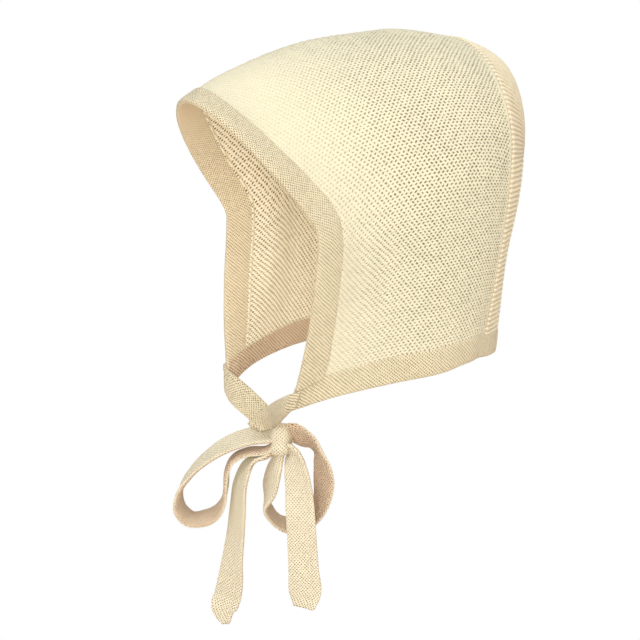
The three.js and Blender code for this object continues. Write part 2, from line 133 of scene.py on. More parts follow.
# Ribbons of the bow, from the knot outwards: across, up and out as shares of each one's reach,
# the tilt in degrees and the width as a share of a ribbon's
LEFT_LOOP_PATH = (
    (-0.11, -0.01, 0.0, 26, 0.66),
    (-0.28, -0.02, 0.0, 26, 0.88),
    (-0.5, -0.1, 0.01, 24, 0.96),
    (-0.7, -0.23, 0.01, 19, 0.98),
    (-0.87, -0.39, 0.02, 14, 0.98),
    (-1.0, -0.61, 0.02, 7, 0.98),
    (-0.99, -0.77, 0.01, -4, 0.98),
    (-0.91, -0.85, 0.0, -10, 0.98),
    (-0.79, -0.85, -0.02, -19, 0.98),
    (-0.67, -0.8, -0.03, -21, 0.98),
    (-0.59, -0.69, -0.04, -17, 0.98),
    (-0.56, -0.54, -0.04, -12, 0.98),
    (-0.54, -0.37, -0.03, -13, 0.95),
    (-0.48, -0.25, -0.02, -11, 0.9),
    (-0.35, -0.17, -0.01, -8, 0.8),
    (-0.11, -0.12, 0.0, -5, 0.66),
)
RIGHT_LOOP_PATH = (
    (0.15, 0.056, 0.0, 62, 0.8),
    (0.19, 0.038, 0.0, 58, 0.88),
    (0.247, 0.009, 0.0, 51, 0.95),
    (0.334, -0.035, 0.0, 39, 0.98),
    (0.409, -0.133, 0.0, 28, 0.98),
    (0.449, -0.272, -0.01, 43, 0.98),
    (0.466, -0.455, -0.03, 53, 0.98),
    (0.437, -0.664, -0.06, 43, 0.98),
    (0.347, -0.855, -0.11, 30, 0.98),
    (0.194, -0.983, -0.14, 20, 0.98),
    (0.035, -0.997, -0.13, 12, 0.98),
    (-0.092, -0.933, -0.1, 0, 0.98),
    (-0.168, -0.791, -0.05, -4, 0.98),
    (-0.139, -0.593, -0.02, -37, 0.98),
    (-0.086, -0.386, 0.0, -41, 0.9),
    (-0.038, -0.235, 0.0, -42, 0.62),
)
LEFT_END_PATH = (
    (-0.072, -0.105, 0.0, 1, 0.62),
    (-0.128, -0.121, 0.01, 11, 0.74),
    (-0.168, -0.163, 0.01, 27, 0.88),
    (-0.2, -0.245, 0.02, 36, 0.97),
    (-0.215, -0.372, 0.02, 42, 1.0),
    (-0.23, -0.525, 0.02, 47, 1.0),
    (-0.247, -0.654, 0.02, 55, 1.0),
    (-0.261, -0.758, 0.01, 68, 1.0),
    (-0.281, -0.852, 0.0, 74, 1.0),
    (-0.305, -0.925, 0.0, 77, 0.9),
    (-0.291, -1.0, 0.0, 76, 0.28),
)
RIGHT_END_PATH = (
    (0.078, -0.085, 0.02, 48, 0.74),
    (0.095, -0.128, 0.04, 58, 0.88),
    (0.108, -0.178, 0.06, 64, 0.96),
    (0.125, -0.28, 0.07, 72, 1.0),
    (0.135, -0.412, 0.08, 85, 1.0),
    (0.143, -0.587, 0.07, 85, 1.0),
    (0.149, -0.752, 0.06, 89, 1.02),
    (0.155, -0.922, 0.05, 86, 1.04),
    (0.149, -0.992, 0.05, 76, 0.74),
)


def eased(t: np.ndarray, softness: np.ndarray) -> np.ndarray:
    """Runs from 0 to 1 with t, in a straight line but for a soft start."""
    return (np.hypot(t, softness) - softness) / (np.hypot(1, softness) - softness)


def smooth(t: np.ndarray) -> np.ndarray:
    """Runs from 0 to 1 with t, level at both ends."""
    t = np.clip(t, 0, 1)
    return t * t * (3 - 2 * t)


def unit(vectors: np.ndarray) -> np.ndarray:
    """The vectors at length 1."""
    return vectors / np.maximum(np.linalg.norm(vectors, axis=-1, keepdims=True), 1e-9)


def rounded(wave: np.ndarray, power: float) -> np.ndarray:
    """A sine or cosine with its sign, squared off by a power below 1."""
    return np.sign(wave) * np.abs(wave) ** power


def ring_angles(sides: int) -> np.ndarray:
    """The angles of the corners of a ring."""
    return np.linspace(0, TURN, sides + 1)[:-1]


def run_along(points: np.ndarray, axis: int) -> np.ndarray:
    """Measures the length run along a grid of points.

    Args:
        points: the grid, with the coordinates on its last axis.
        axis: the axis that is followed.

    Returns:
        The length at each point, from 0.
    """
    steps = np.linalg.norm(np.diff(points, axis=axis), axis=-1)
    start = np.zeros_like(np.take(steps, [0], axis=axis))
    return np.concatenate([start, np.cumsum(steps, axis=axis)], axis=axis)


def run_round(rings: np.ndarray) -> np.ndarray:
    """The length run round each ring, up to its closing corner."""
    return run_along(np.concatenate([rings, rings[:, :1]], axis=1), 1)


def normals(grid: np.ndarray, blend: int = 0) -> np.ndarray:
    """Unit normals of a grid, on the side that its first axis crossed with its second gives.

    Args:
        grid: rows by columns of points.
        blend: how many times each row's are blended with its neighbours'.

    Returns:
        The normals.
    """
    up = unit(np.cross(np.gradient(grid, axis=0), np.gradient(grid, axis=1)))
    for _ in range(blend):
        up[1:-1] = unit(up[:-2] + 2 * up[1:-1] + up[2:])
    return up


@dataclass(frozen=True)
class Shell:
    """The outer face of the bonnet, in millimetres."""

    depth: float = 184.0
    half_width: float = 60.0
    height: float = 177.0
    wall: float = 2.0
    back_wrap: float = math.radians(51)

    def crown(self, q: np.ndarray, v: np.ndarray) -> np.ndarray:
        """Places on the crown.

        Args:
            q: from one hem (-1) over the top (0) to the other (1).
            v: from the front edge (0) to the back seam (1).

        Returns:
            The points, with the broadcast shape of q and v.
        """
        q, v = np.broadcast_arrays(np.asarray(q, float), np.asarray(v, float))
        arch, hem = ARCHES.at(v), HEM.at(v)
        top_y, wide_y, hem_y = (y * self.depth for y in (arch["top_y"], arch["wide_y"], hem["y"]))
        top_z, wide_z, hem_z = (z * self.height for z in (arch["top_z"], arch["wide_z"], hem["z"]))
        wide_x, hem_x, sway = (x * self.half_width for x in (arch["wide_x"], hem["x"], arch["sway"]))
        upper = np.pi / 2 * np.hypot(wide_x, top_z - wide_z) * math.sqrt(0.5)
        lower = np.hypot(wide_z - hem_z, wide_x - hem_x)
        turn = upper / (upper + lower)
        side, along = np.sign(q), np.abs(q)
        angle = np.clip(along / turn, 0, 1) * np.pi / 2
        cosine = np.clip(np.cos(angle), 0, 1)
        rise = cosine ** (2 / arch["round"])
        t = np.clip((along - turn) / (1 - turn), 0, None)
        high = along <= turn
        x_high = side * wide_x * np.sin(angle) ** (2 / arch["round"]) + sway * cosine**2
        x = np.where(high, x_high, side * (wide_x + (hem_x - wide_x) * t ** arch["tuck"]))
        y_high = wide_y + (top_y - wide_y) * eased(rise, arch["bend"])
        y = np.where(high, y_high, wide_y + (hem_y - wide_y) * eased(t, arch["bend"]))
        z = np.where(high, wide_z + (top_z - wide_z) * rise, wide_z + (hem_z - wide_z) * t)
        return np.stack([x, y, z + self.wall], axis=-1)

    def back(self, a: np.ndarray, h: np.ndarray) -> np.ndarray:
        """Places on the back.

        Args:
            a: from one seam (-1) across to the other (1).
            h: from the top of the seam (0) to the hem (1).

        Returns:
            The points, with the broadcast shape of a and h.
        """
        a, h = np.broadcast_arrays(np.asarray(a, float), np.asarray(h, float))
        seam = self.crown(np.abs(h), np.ones_like(h))
        row = BACK.at(h)
        edge = math.cos(self.back_wrap)
        swell = (np.cos(a * self.back_wrap) - edge) / (1 - edge)
        return np.stack([
            seam[..., 0] / math.sin(self.back_wrap) * np.sin(a * self.back_wrap),
            seam[..., 1] + row["out"] * self.depth * swell,
            seam[..., 2] + row["lift"] * self.height * swell,
        ], axis=-1)

    def above_hem(self, v: np.ndarray, height: float) -> np.ndarray:
        """Finds the places a given height above the hem.

        Args:
            v: the arches to look on.
            height: how far up, measured along the knit.

        Returns:
            The q of each place.
        """
        t = np.linspace(0, 0.5, 90)
        run = run_along(self.crown(1 - t[None, :], np.asarray(v, float)[:, None]), 1)
        return np.array([1 - np.interp(height, line, t) for line in run])

    def strip(
        self, s: np.ndarray, first: float, last: float | None, steps: int, height: float
    ) -> np.ndarray:
        """A grid of places on the crown between two lines that follow its front edge.

        Args:
            s: shares of the arch, -1 to 1, one for each row.
            first: distance of the first column behind the front edge.
            last: the same of the last column, or None for the back seam.
            steps: number of steps between them.
            height: how far above the hem the rows end.

        Returns:
            Points, rows by columns.
        """
        v = np.linspace(0, 1, 121)
        q = self.above_hem(v, height)
        run = run_along(self.crown(s[:, None] * q[None, :], v[None, :]), 1)
        columns = []
        for line in run:
            ends = np.interp([first, line[-1] if last is None else last], line, v)
            columns.append(np.linspace(*ends, steps + 1))
        columns = np.array(columns)
        return self.crown(s[:, None] * np.interp(columns, v, q), columns)


SHELL = Shell()


def add_node(
    tree: bpy.types.NodeTree, kind: str, inputs: dict | None = None, **settings: object
) -> bpy.types.Node:
    """Adds a node.

    Args:
        tree: the tree that gets it.
        kind: its type, such as ShaderNodeMath.
        inputs: a value or another node's output for each input, by name or number.
        **settings: its own properties.

    Returns:
        The node.
    """
    node = tree.nodes.new(kind)
    for name, value in settings.items():
        setattr(node, name, value)
    for key, value in (inputs or {}).items():
        if isinstance(value, bpy.types.NodeSocket):
            tree.links.new(value, node.inputs[key])
        else:
            node.inputs[key].default_value = value
    return node


def work_out(
    tree: bpy.types.NodeTree, known: dict[str, bpy.types.NodeSocket], *steps: tuple
) -> dict[str, bpy.types.NodeSocket]:
    """Adds the nodes of a formula.

    Args:
        tree: the tree that gets them.
        known: outputs by the names that the steps use.
        *steps: each a new name, an operation and what it is done to, as names or numbers.

    Returns:
        The known outputs and those of the steps, by name.
    """
    values = dict(known)
    for name, operation, *terms in steps:
        inputs = {i: values[term] if isinstance(term, str) else term for i, term in enumerate(terms)}
        values[name] = add_node(tree, "ShaderNodeMath", inputs, operation=operation).outputs[0]
    return values


def linear(hex_colour: str) -> tuple[float, float, float, float]:
    """An sRGB colour such as E9DEBC as linear red, green, blue and alpha."""
    parts = [int(hex_colour[i:i + 2], 16) / 255 for i in (0, 2, 4)]
    return tuple(p / 12.92 if p <= 0.04045 else ((p + 0.055) / 1.055) ** 2.4 for p in parts) + (1.0,)


@dataclass(frozen=True)
class Knit:
    """Undyed fine merino, hand knitted.

    It is matt, with a faint halo of fibre and with shadow in the gaps between its stitches. The
    gaps and the fibre are drawn a little coarser than real ones, so that they show in the render.
    """

    name: str
    stitch: Stitch
    along: float  # millimetres from stitch to stitch in a row
    across: float  # millimetres from row to row
    relief: float  # height of the stitches in the bump, millimetres
    hole: tuple[float, float] = (0.4, 0.4)  # half the size of a gap, along and across, millimetres
    lean: float = 0.7  # sideways lean of a gap for each millimetre up, row by row to the other side
    base: str = "EFE3C1"
    # The colour at the bottom of the gaps is painted shade, and the colour on the tops of the stitches is
    # painted light.
    hollow_shade: str = "6E5F40"
    crest_light: str = "F3EACE"
    wander: float = 0.3  # how unevenly the stitches lie, millimetres
    wander_size: float = 5.0  # over how many millimetres they wander
    fibre_size: float = 0.5  # millimetres
    tint_size: float = 38.0  # millimetres from a lighter patch of wool to a darker one
    # Painted glow: the knit gives off this much of its own colour as light, standing in for daylight
    # through the thin knit.
    through: float = 0.0  # daylight that comes through the thin knit

    def build(self) -> bpy.types.Material:
        """Makes the material. Its pattern follows the piece's own knit map, which is in metres.

        Returns:
            The material.
        """
        material = bpy.data.materials.new(self.name)
        material.use_nodes = True
        tree = material.node_tree
        tree.nodes.clear()
        solid = add_node(tree, "ShaderNodeTexCoord").outputs["Object"]
        opened = add_node(tree, "ShaderNodeAttribute", attribute_name=OPEN_NAME).outputs["Fac"]
        x, y = self.stitch_count(tree, solid)
        if self.stitch is Stitch.OPEN:
            height = self.open_rows(tree, x, y, opened)
        else:
            height = self.ribs(tree, x, y, opened)
        fibre = add_node(tree, "ShaderNodeTexNoise", {
            "Vector": solid, "Scale": 1 / (self.fibre_size * MM), "Detail": 3.0, "Roughness": 0.7,
        })
        values = work_out(
            tree, {"height": height, "fibre": fibre.outputs["Fac"], "opened": opened},
            ("level", "SUBTRACT", "height", 0.15),
            ("full", "MULTIPLY_ADD", "fibre", 0.3, "level"),
            ("glow", "MULTIPLY", "opened", self.through),
        )
        colour = self.colour(tree, values["full"], solid)
        bump = add_node(tree, "ShaderNodeBump", {
            "Height": values["full"], "Distance": self.relief * MM, "Strength": 1.0,
        })
        # The emission is a painted glow, scaled by how open the knit is drawn, that stands in for
        # daylight through the knit.
        shader = add_node(tree, "ShaderNodeBsdfPrincipled", {
            "Base Color": colour,
            "Emission Color": colour,
            "Emission Strength": values["glow"],
            "Normal": bump.outputs[0],
            "Roughness": 0.92,
            "Specular IOR Level": 0.2,
            "Sheen Weight": 0.2,
            "Sheen Roughness": 0.6,
        })
        add_node(tree, "ShaderNodeOutputMaterial", {0: shader.outputs[0]})
        return material

    def stitch_count(
        self, tree: bpy.types.NodeTree, solid: bpy.types.NodeSocket
    ) -> tuple[bpy.types.NodeSocket, bpy.types.NodeSocket]:
        """Counts stitches along a row and rows across, with the unevenness of hand knitting.

        Args:
            tree: the material's tree.
            solid: places on the object.

        Returns:
            The outputs that give the two counts.
        """
        place = add_node(tree, "ShaderNodeUVMap", uv_map=UV_NAME).outputs[0]
        uneven = add_node(tree, "ShaderNodeTexNoise", {
            "Vector": solid, "Scale": 1 / (self.wander_size * MM), "Detail": 2.0,
        })
        centred = add_node(
            tree, "ShaderNodeVectorMath", {0: uneven.outputs["Color"], 1: (0.5, 0.5, 0.5)},
            operation="SUBTRACT",
        )
        shift = add_node(
            tree, "ShaderNodeVectorMath", {0: centred.outputs[0], 1: (self.wander * 4 * MM,) * 3},
            operation="MULTIPLY",
        )
        moved = add_node(tree, "ShaderNodeVectorMath", {0: place, 1: shift.outputs[0]})
        pitch = (1 / (self.along * MM), 1 / (self.across * MM), 0)
        count = add_node(
            tree, "ShaderNodeVectorMath", {0: moved.outputs[0], 1: pitch}, operation="MULTIPLY"
        )
        split = add_node(tree, "ShaderNodeSeparateXYZ", {0: count.outputs[0]})
        return split.outputs["X"], split.outputs["Y"]

    def colour(
        self, tree: bpy.types.NodeTree, height: bpy.types.NodeSocket, solid: bpy.types.NodeSocket
    ) -> bpy.types.NodeSocket:
        """Colours the wool, from painted shade in the hollows to a painted lighter tone on the crests,
        with lighter and darker patches.

        Args:
            tree: the material's tree.
            height: the height of the stitches, 0 to 1.
            solid: places on the object.

        Returns:
            The output that gives the colour.
        """
        # The ramp paints shade in the gaps and light on the tops of the stitches, by stitch height.
        ramp = add_node(tree, "ShaderNodeValToRGB", {0: height})
        stops = ramp.color_ramp.elements
        stops[0].position, stops[0].color = 0.05, linear(self.hollow_shade)
        stops[1].position, stops[1].color = 0.95, linear(self.crest_light)
        middle = stops.new(0.6)
        middle.color = linear(self.base)
        tint = add_node(tree, "ShaderNodeTexNoise", {
            "Vector": solid, "Scale": 1 / (self.tint_size * MM), "Detail": 4.0,
        })
        shade = add_node(
            tree, "ShaderNodeMapRange", {0: tint.outputs["Fac"], 1: 0.3, 2: 0.7, 3: 0.955, 4: 1.02}
        )
        shaded = add_node(
            tree, "ShaderNodeVectorMath", {0: ramp.outputs[0], "Scale": shade.outputs[0]},
            operation="SCALE",
        )
        return shaded.outputs[0]

    def open_rows(
        self, tree: bpy.types.NodeTree, x: bpy.types.NodeSocket, y: bpy.types.NodeSocket,
        opened: bpy.types.NodeSocket,
    ) -> bpy.types.NodeSocket:
        """Works out staggered rows with a small leaning gap between stitches.

        Args:
            tree: the material's tree.
            x: stitches counted along a row.
            y: rows counted across.
            opened: how far the knit is drawn open, 0 to 1.

        Returns:
            The output that gives the height, 0 to 1.
        """
        values = work_out(
            tree, {"x": x, "y": y, "opened": opened},
            ("row", "ROUND", "y"),
            ("off", "SUBTRACT", "y", "row"),
            ("odd", "FLOORED_MODULO", "row", 2.0),
            ("shifted", "MULTIPLY_ADD", "odd", 0.5, "x"),
            ("column", "FLOOR", "shifted"),
            ("part", "FRACT", "shifted"),
            ("along", "SUBTRACT", "part", 0.5),
            ("side", "MULTIPLY_ADD", "odd", 2.0, -1.0),
            ("leaned", "MULTIPLY", "off", "side"),
            ("lean", "MULTIPLY", "leaned", self.lean * self.across),
            ("u", "MULTIPLY_ADD", "along", self.along, "lean"),
            ("v", "MULTIPLY", "off", self.across),
            ("u_share", "DIVIDE", "u", self.hole[0]),
            ("v_share", "DIVIDE", "v", self.hole[1]),
            ("far_u", "MULTIPLY", "u_share", "u_share"),
            ("far_v", "MULTIPLY", "v_share", "v_share"),
            ("far_squared", "ADD", "far_u", "far_v"),
            ("far", "SQRT", "far_squared"),
        )
        cell = add_node(tree, "ShaderNodeCombineXYZ", {0: values["column"], 1: values["row"]})
        noise = add_node(tree, "ShaderNodeTexWhiteNoise", {"Vector": cell.outputs[0]})
        values["chance"] = noise.outputs["Value"]
        values = work_out(
            tree, values,
            ("size", "MULTIPLY_ADD", "chance", 0.4, 0.8),
            ("reach", "DIVIDE", "far", "size"),
        )
        gap = add_node(
            tree, "ShaderNodeMapRange", {0: values["reach"], 1: 1.7, 2: 0.1, 3: 0.0, 4: 1.0},
            interpolation_type="SMOOTHSTEP",
        )
        values["gap"] = gap.outputs[0]
        return work_out(
            tree, values,
            ("depth", "MULTIPLY", "gap", "opened"),
            ("phase", "MULTIPLY", "off", TURN),
            ("wave", "COSINE", "phase"),
            ("crown", "MULTIPLY", "wave", -0.04),
            ("level", "ADD", "crown", 0.78),
            ("height", "MULTIPLY_ADD", "depth", -0.85, "level"),
        )["height"]

    def ribs(
        self, tree: bpy.types.NodeTree, x: bpy.types.NodeSocket, y: bpy.types.NodeSocket,
        opened: bpy.types.NodeSocket,
    ) -> bpy.types.NodeSocket:
        """Works out ribs, each a column of small stitches.

        Args:
            tree: the material's tree.
            x: stitches counted along a rib.
            y: ribs counted across.
            opened: how far the ribs stand up, 0 to 1.

        Returns:
            The output that gives the height, 0 to 1.
        """
        return work_out(
            tree, {"x": x, "y": y, "opened": opened},
            ("phase", "MULTIPLY", "y", TURN),
            ("wave", "COSINE", "phase"),
            ("rib", "MULTIPLY", "wave", 0.4),
            ("slant", "PINGPONG", "y", 0.5),
            ("leg", "MULTIPLY_ADD", "slant", 0.8, "x"),
            ("leg_phase", "MULTIPLY", "leg", TURN),
            ("leg_wave", "COSINE", "leg_phase"),
            ("bead", "MULTIPLY", "leg_wave", 0.14),
            ("both", "ADD", "rib", "bead"),
            ("height", "MULTIPLY_ADD", "both", "opened", 0.55),
        )["height"]


# The crown's outside: rows of small gaps whose painted shade looks grey green
CROWN_KNIT = Knit(
    "open_garter_merino", Stitch.OPEN, along=2.3, across=1.5, relief=0.6, hole=(0.43, 0.47),
    lean=0.65, base="DED8BA", hollow_shade="695E3E", crest_light="ECE6CA",
)
# Its inside: warmer and darker between the stitches, with painted shade there, and a painted glow that
# stands in for the daylight outside coming through
INSIDE_KNIT = Knit(
    "garter_merino_inside", Stitch.OPEN, along=2.35, across=1.45, relief=0.6, hole=(0.48, 0.44),
    lean=0.5, base="EFE4C4", hollow_shade="6E5938", crest_light="F8F0DA", through=0.21,
)
# The back: soft ribs whose grooves have painted shade, only a little darker than their tops
RIB_KNIT = Knit(
    "radial_rib_merino", Stitch.RIB, along=1.5, across=2.4, relief=0.6, base="F4E9CA", hollow_shade="C6B48C"
)
# The bands: dense small stitches, a shade deeper than the crown, that look almost smooth
BAND_KNIT = Knit(
    "fine_band_merino", Stitch.OPEN, along=1.55, across=0.85, relief=0.3, hole=(0.34, 0.32),
    lean=0.5, base="DFD4B3", hollow_shade="83744F", crest_light="EADFC0", wander=0.25,
)
# The face band's inside: the same wool, warmer, with a painted glow that stands in for light through it
BAND_INSIDE_KNIT = replace(
    BAND_KNIT, name="fine_band_merino_inside", base="DFD0AF", hollow_shade="8E7B58", crest_light="EADDC0",
    through=0.17,
)
# The loops, the hanging ends and the knot: the palest, with faint gaps
TIE_KNIT = replace(
    BAND_KNIT, name="fine_tie_merino", along=1.65, across=0.9, hole=(0.32, 0.32), base="ECE4C8",
    hollow_shade="A0946F", crest_light="F3ECD3",
)
# The reverse of the ribbons: the purl side, with the gaps plainly seen, in a pink brown that is partly
# the purl side's own deeper tone and partly painted shade
SHADED_REVERSE_KNIT = Knit(
    "fine_band_merino_reverse_shaded", Stitch.OPEN, along=1.65, across=0.9, relief=0.35, hole=(0.36, 0.34),
    lean=0.4, base="E4CCAD", hollow_shade="84664A", crest_light="EFDCC0", wander=0.25,
)


def add_object(name: str, data: bpy.types.ID) -> bpy.types.Object:
    """Adds an object to the scene.

    Args:
        name: its name.
        data: its mesh, lamp or camera.

    Returns:
        The object.
    """
    added = bpy.data.objects.new(name, data)
    bpy.context.collection.objects.link(added)
    return added


def mesh_object(
    name: str, points: np.ndarray, faces: list, uvs: np.ndarray, materials: list[bpy.types.Material],
    slots: np.ndarray | None = None, opened: np.ndarray | None = None,
) -> bpy.types.Object:
    """Makes a closed mesh.

    Args:
        name: the piece's name.
        points: its corners in millimetres.
        faces: lists of corner numbers.
        uvs: the knit map of each face corner, in millimetres.
        materials: its finishes.
        slots: which of them each face has, or None where all have the first.
        opened: how far the knit is drawn open at each corner, 0 to 1; it also scales the painted glow.

    Returns:
        The object, with its faces pointing out.
    """
    mesh = bpy.data.meshes.new(name)
    mesh.from_pydata((points * MM).tolist(), [], faces)
    layer = mesh.uv_layers.new(name=UV_NAME)
    layer.data.foreach_set("uv", (uvs * MM).astype(np.float32).ravel())
    volume = 0.0
    corners = points - points.mean(axis=0)
    every = max(1, len(faces) // 20000)  # a sample shows which way the faces point
    for face in faces[::every]:
        volume += float(np.dot(corners[face[0]], np.cross(corners[face[1]], corners[face[2]])))
    if volume < 0:
        mesh.flip_normals()
    mesh.polygons.foreach_set("use_smooth", np.ones(len(mesh.polygons), bool))
    for material in materials:
        mesh.materials.append(material)
    if slots is not None:
        mesh.polygons.foreach_set("material_index", slots.astype(np.int32))
    attribute = mesh.attributes.new(OPEN_NAME, "FLOAT", "POINT")
    values = np.ones(len(points)) if opened is None else opened
    attribute.data.foreach_set("value", values.astype(np.float32))
    return add_object(name, mesh)


def grid_faces(rows: int, columns: int, start: int, flip: bool) -> np.ndarray:
    """Lists the quads of a grid of corners.

    Args:
        rows: its rows.
        columns: its columns.
        start: the number of its first corner, from which they run row by row.
        flip: whether the quads face the other way.

    Returns:
        Four corner numbers for each quad.
    """
    i, j = np.meshgrid(np.arange(rows - 1), np.arange(columns - 1), indexing="ij")
    a = start + (i * columns + j).ravel()
    quads = np.stack([a, a + columns, a + columns + 1, a + 1], axis=1)
    return quads[:, ::-1] if flip else quads


def rim(rows: int, columns: int, start: int) -> list[int]:
    """Lists the corners round the border of such a grid, in order.

    Args:
        rows: its rows.
        columns: its columns.
        start: the number of its first corner.

    Returns:
        The corner numbers.
    """
    line = [(0, j) for j in range(columns - 1)] + [(i, columns - 1) for i in range(rows - 1)]
    line += [(rows - 1, j) for j in range(columns - 1, 0, -1)]
    line += [(i, 0) for i in range(rows - 1, 0, -1)]
    return [start + i * columns + j for i, j in line]


def wall_object(
    name: str, outer: np.ndarray, inner: np.ndarray, uv: np.ndarray,
    materials: list[bpy.types.Material], opened: np.ndarray, inner_uv: np.ndarray | None = None,
) -> bpy.types.Object:
    """A closed wall whose inner face has every second corner of its outer face.

    Args:
        name: the piece's name.
        outer: the outer face, odd rows by odd columns.
        inner: the inner face at every second row and column.
        uv: the knit map of the outer face in millimetres.
        materials: the finish of its outer and of its inner face.
        opened: how far the knit is drawn open at each place of the outer face.
        inner_uv: the knit map of the inner face, or None where it has the outer one's.

    Returns:
        The object.
    """
    rows, columns = outer.shape[:2]
    few_rows, few_columns = inner.shape[:2]
    count = rows * columns
    points = np.concatenate([outer.reshape(-1, 3), inner.reshape(-1, 3)])
    inner_uv = uv[::2, ::2] if inner_uv is None else inner_uv
    maps = np.concatenate([uv.reshape(-1, 2), inner_uv.reshape(-1, 2)])
    faces = grid_faces(rows, columns, 0, False).tolist()
    outside, inside = rim(rows, columns, 0), rim(few_rows, few_columns, count)
    for k, near in enumerate(inside):
        far = inside[(k + 1) % len(inside)]
        first, middle = outside[2 * k], outside[2 * k + 1]
        last = outside[(2 * k + 2) % len(outside)]
        faces += [[near, first, middle], [near, middle, far], [far, middle, last]]
    outer_count = len(faces)
    faces += grid_faces(few_rows, few_columns, count, True).tolist()
    slots = (np.arange(len(faces)) >= outer_count).astype(int)
    flat = np.array([corner for face in faces for corner in face])
    wide = np.concatenate([opened.ravel(), np.ones(few_rows * few_columns)])
    return mesh_object(name, points, faces, maps[flat], materials, slots, wide)


def tube_object(
    name: str, rings: np.ndarray, uv: np.ndarray, materials: list[bpy.types.Material],
    reverse: np.ndarray | None = None, opened: np.ndarray | None = None,
) -> bpy.types.Object:
    """A closed tube through rings of points, with a flat fan at each end.

    Args:
        name: the piece's name.
        rings: rings by points by 3, in millimetres.
        uv: rings by points + 1 by 2, the knit map with the closing column.
        materials: its finishes.
        reverse: which sides of the tube have the second one, or None where all have the first.
        opened: how far the knit is drawn open at each corner, 0 to 1; it also scales the painted glow.

    Returns:
        The object.
    """
    count, sides = rings.shape[:2]
    points = np.concatenate([rings.reshape(-1, 3), rings[[0, -1]].mean(axis=1)])
    i, j = (x.ravel() for x in np.meshgrid(np.arange(count - 1), np.arange(sides), indexing="ij"))
    k = (j + 1) % sides
    low, high = i * sides, (i + 1) * sides
    faces = np.stack([low + j, high + j, high + k, low + k], axis=1).tolist()
    corner_maps = np.stack([uv[i, j], uv[i + 1, j], uv[i + 1, j + 1], uv[i, j + 1]], axis=1)
    ends = []
    for ring, centre, flip in ((0, count * sides, False), (count - 1, count * sides + 1, True)):
        for side in range(sides):
            pair = [ring * sides + side, ring * sides + (side + 1) % sides]
            faces.append([centre] + (pair[::-1] if flip else pair))
            ends += [uv[ring, side]] * 3
    slots = None
    if reverse is not None:
        slots = np.concatenate([np.tile(reverse, count - 1), np.zeros(2 * sides)])
    maps = np.concatenate([corner_maps.reshape(-1, 2), np.array(ends)])
    return mesh_object(name, points, faces, maps, materials, slots, opened)


def dress(piece: bpy.types.Object, slot: str, *nodes: str) -> None:
    """Gives a piece its body, hides the nodes that it stands for, and reports it.

    Args:
        piece: the finished object.
        slot: not used.
        *nodes: the solids that it stands for, if any.
    """
    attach(piece, "root")
    if nodes:
        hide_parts(*nodes)
    LOG.info("%s: %d faces", piece.name, len(piece.data.polygons))


def unevenness(points: np.ndarray, size: float) -> np.ndarray:
    """Works out the gentle rise and fall of hand knitting.

    Args:
        points: places, in millimetres.
        size: the length of the waves.

    Returns:
        Values between about -1 and 1.
    """
    x, y, z = (points[..., i] * TURN / size for i in range(3))
    waves = (x + 1.7 * np.sin(y * 0.6), 0.8 * z + 0.5 * y + 1.3, 0.9 * y - 0.7 * x)
    return sum(np.sin(wave) for wave in waves) / 3


@dataclass
class CrownPanel:
    """The textured knit that arches over the head."""

    band: float = 15.0
    neck: float = 13.0
    tuck_in: float = 1.2  # how far it runs under the bands
    ridges: int = 126  # pairs of rows, hem to hem
    columns: int = 198
    relief: float = 0.3
    border: float = 2.2  # the knit turns smooth this close to the seam
    stretch: float = 0.3  # how much longer the stitches are at the face than at the seam, as a share
    seam_pitch: float = 0.9  # how long they are at the seam, as a share of the finish's own
    wave: float = 0.5
    wave_size: float = 46.0
    calm: float = 12.0  # the waves fade out this close to the seam
    seam_sink: float = 0.45  # how far the knit sinks beside the seam
    seam_sink_over: float = 1.2
    band_sink: float = 0.5
    band_sink_over: float = 2.2
    opens_from: float = 128.0  # how far from the seam the gaps start to open, towards it
    opens_over: float = 88.0
    least_open: float = 0.22
    low_open: float = 0.66  # how much of that is left down at the hem
    low_from: float = -165.0
    low_over: float = 60.0

    def build(self, finishes: list[bpy.types.Material]) -> bpy.types.Object:
        """Makes the panel.

        Args:
            finishes: the materials of its outer and its inner face.

        Returns:
            The object.
        """
        s = np.linspace(-1, 1, 3 * self.ridges + 1)
        grid = SHELL.strip(s, self.band - self.tuck_in, None, self.columns, self.neck - self.tuck_in)
        up = normals(grid)
        to_seam = run_along(grid[:, ::-1], 1)[:, ::-1]
        ridge = np.broadcast_to((s * self.ridges / 2)[:, None], to_seam.shape)
        share = self.stretch / SHELL.depth
        stitch = np.log1p(share * to_seam) / share / (CROWN_KNIT.along * self.seam_pitch)
        uv = np.stack([stitch * CROWN_KNIT.along, ridge * 2 * CROWN_KNIT.across], axis=-1)
        lattice = np.cos(TURN * stitch) * np.cos(TURN * ridge)
        fade = smooth((to_seam - 0.6) / self.border)
        from_hem = run_along(grid, 0)
        to_band = np.minimum(run_along(grid, 1), np.minimum(from_hem, from_hem[-1:] - from_hem))
        waves = self.wave * unevenness(grid, self.wave_size) * smooth(to_seam / self.calm)
        rise = (self.relief * lattice * fade + waves) * smooth((to_band - 0.4) / 3)
        sunk = self.seam_sink * (1 - smooth(to_seam / self.seam_sink_over))
        sunk = sunk + self.band_sink * (1 - smooth(to_band / self.band_sink_over))
        outer = grid + up * (rise - sunk)[..., None]
        inner = (grid - up * (SHELL.wall + sunk * 0.3)[..., None])[::2, ::2]
        near = smooth((self.opens_from - to_seam) / self.opens_over)
        opened = self.least_open + (1 - self.least_open) * near
        high = smooth((grid[..., 2] - self.low_from) / self.low_over)
        opened *= self.low_open + (1 - self.low_open) * high
        return wall_object("crown_knit", outer, inner, uv, finishes, opened * fade)


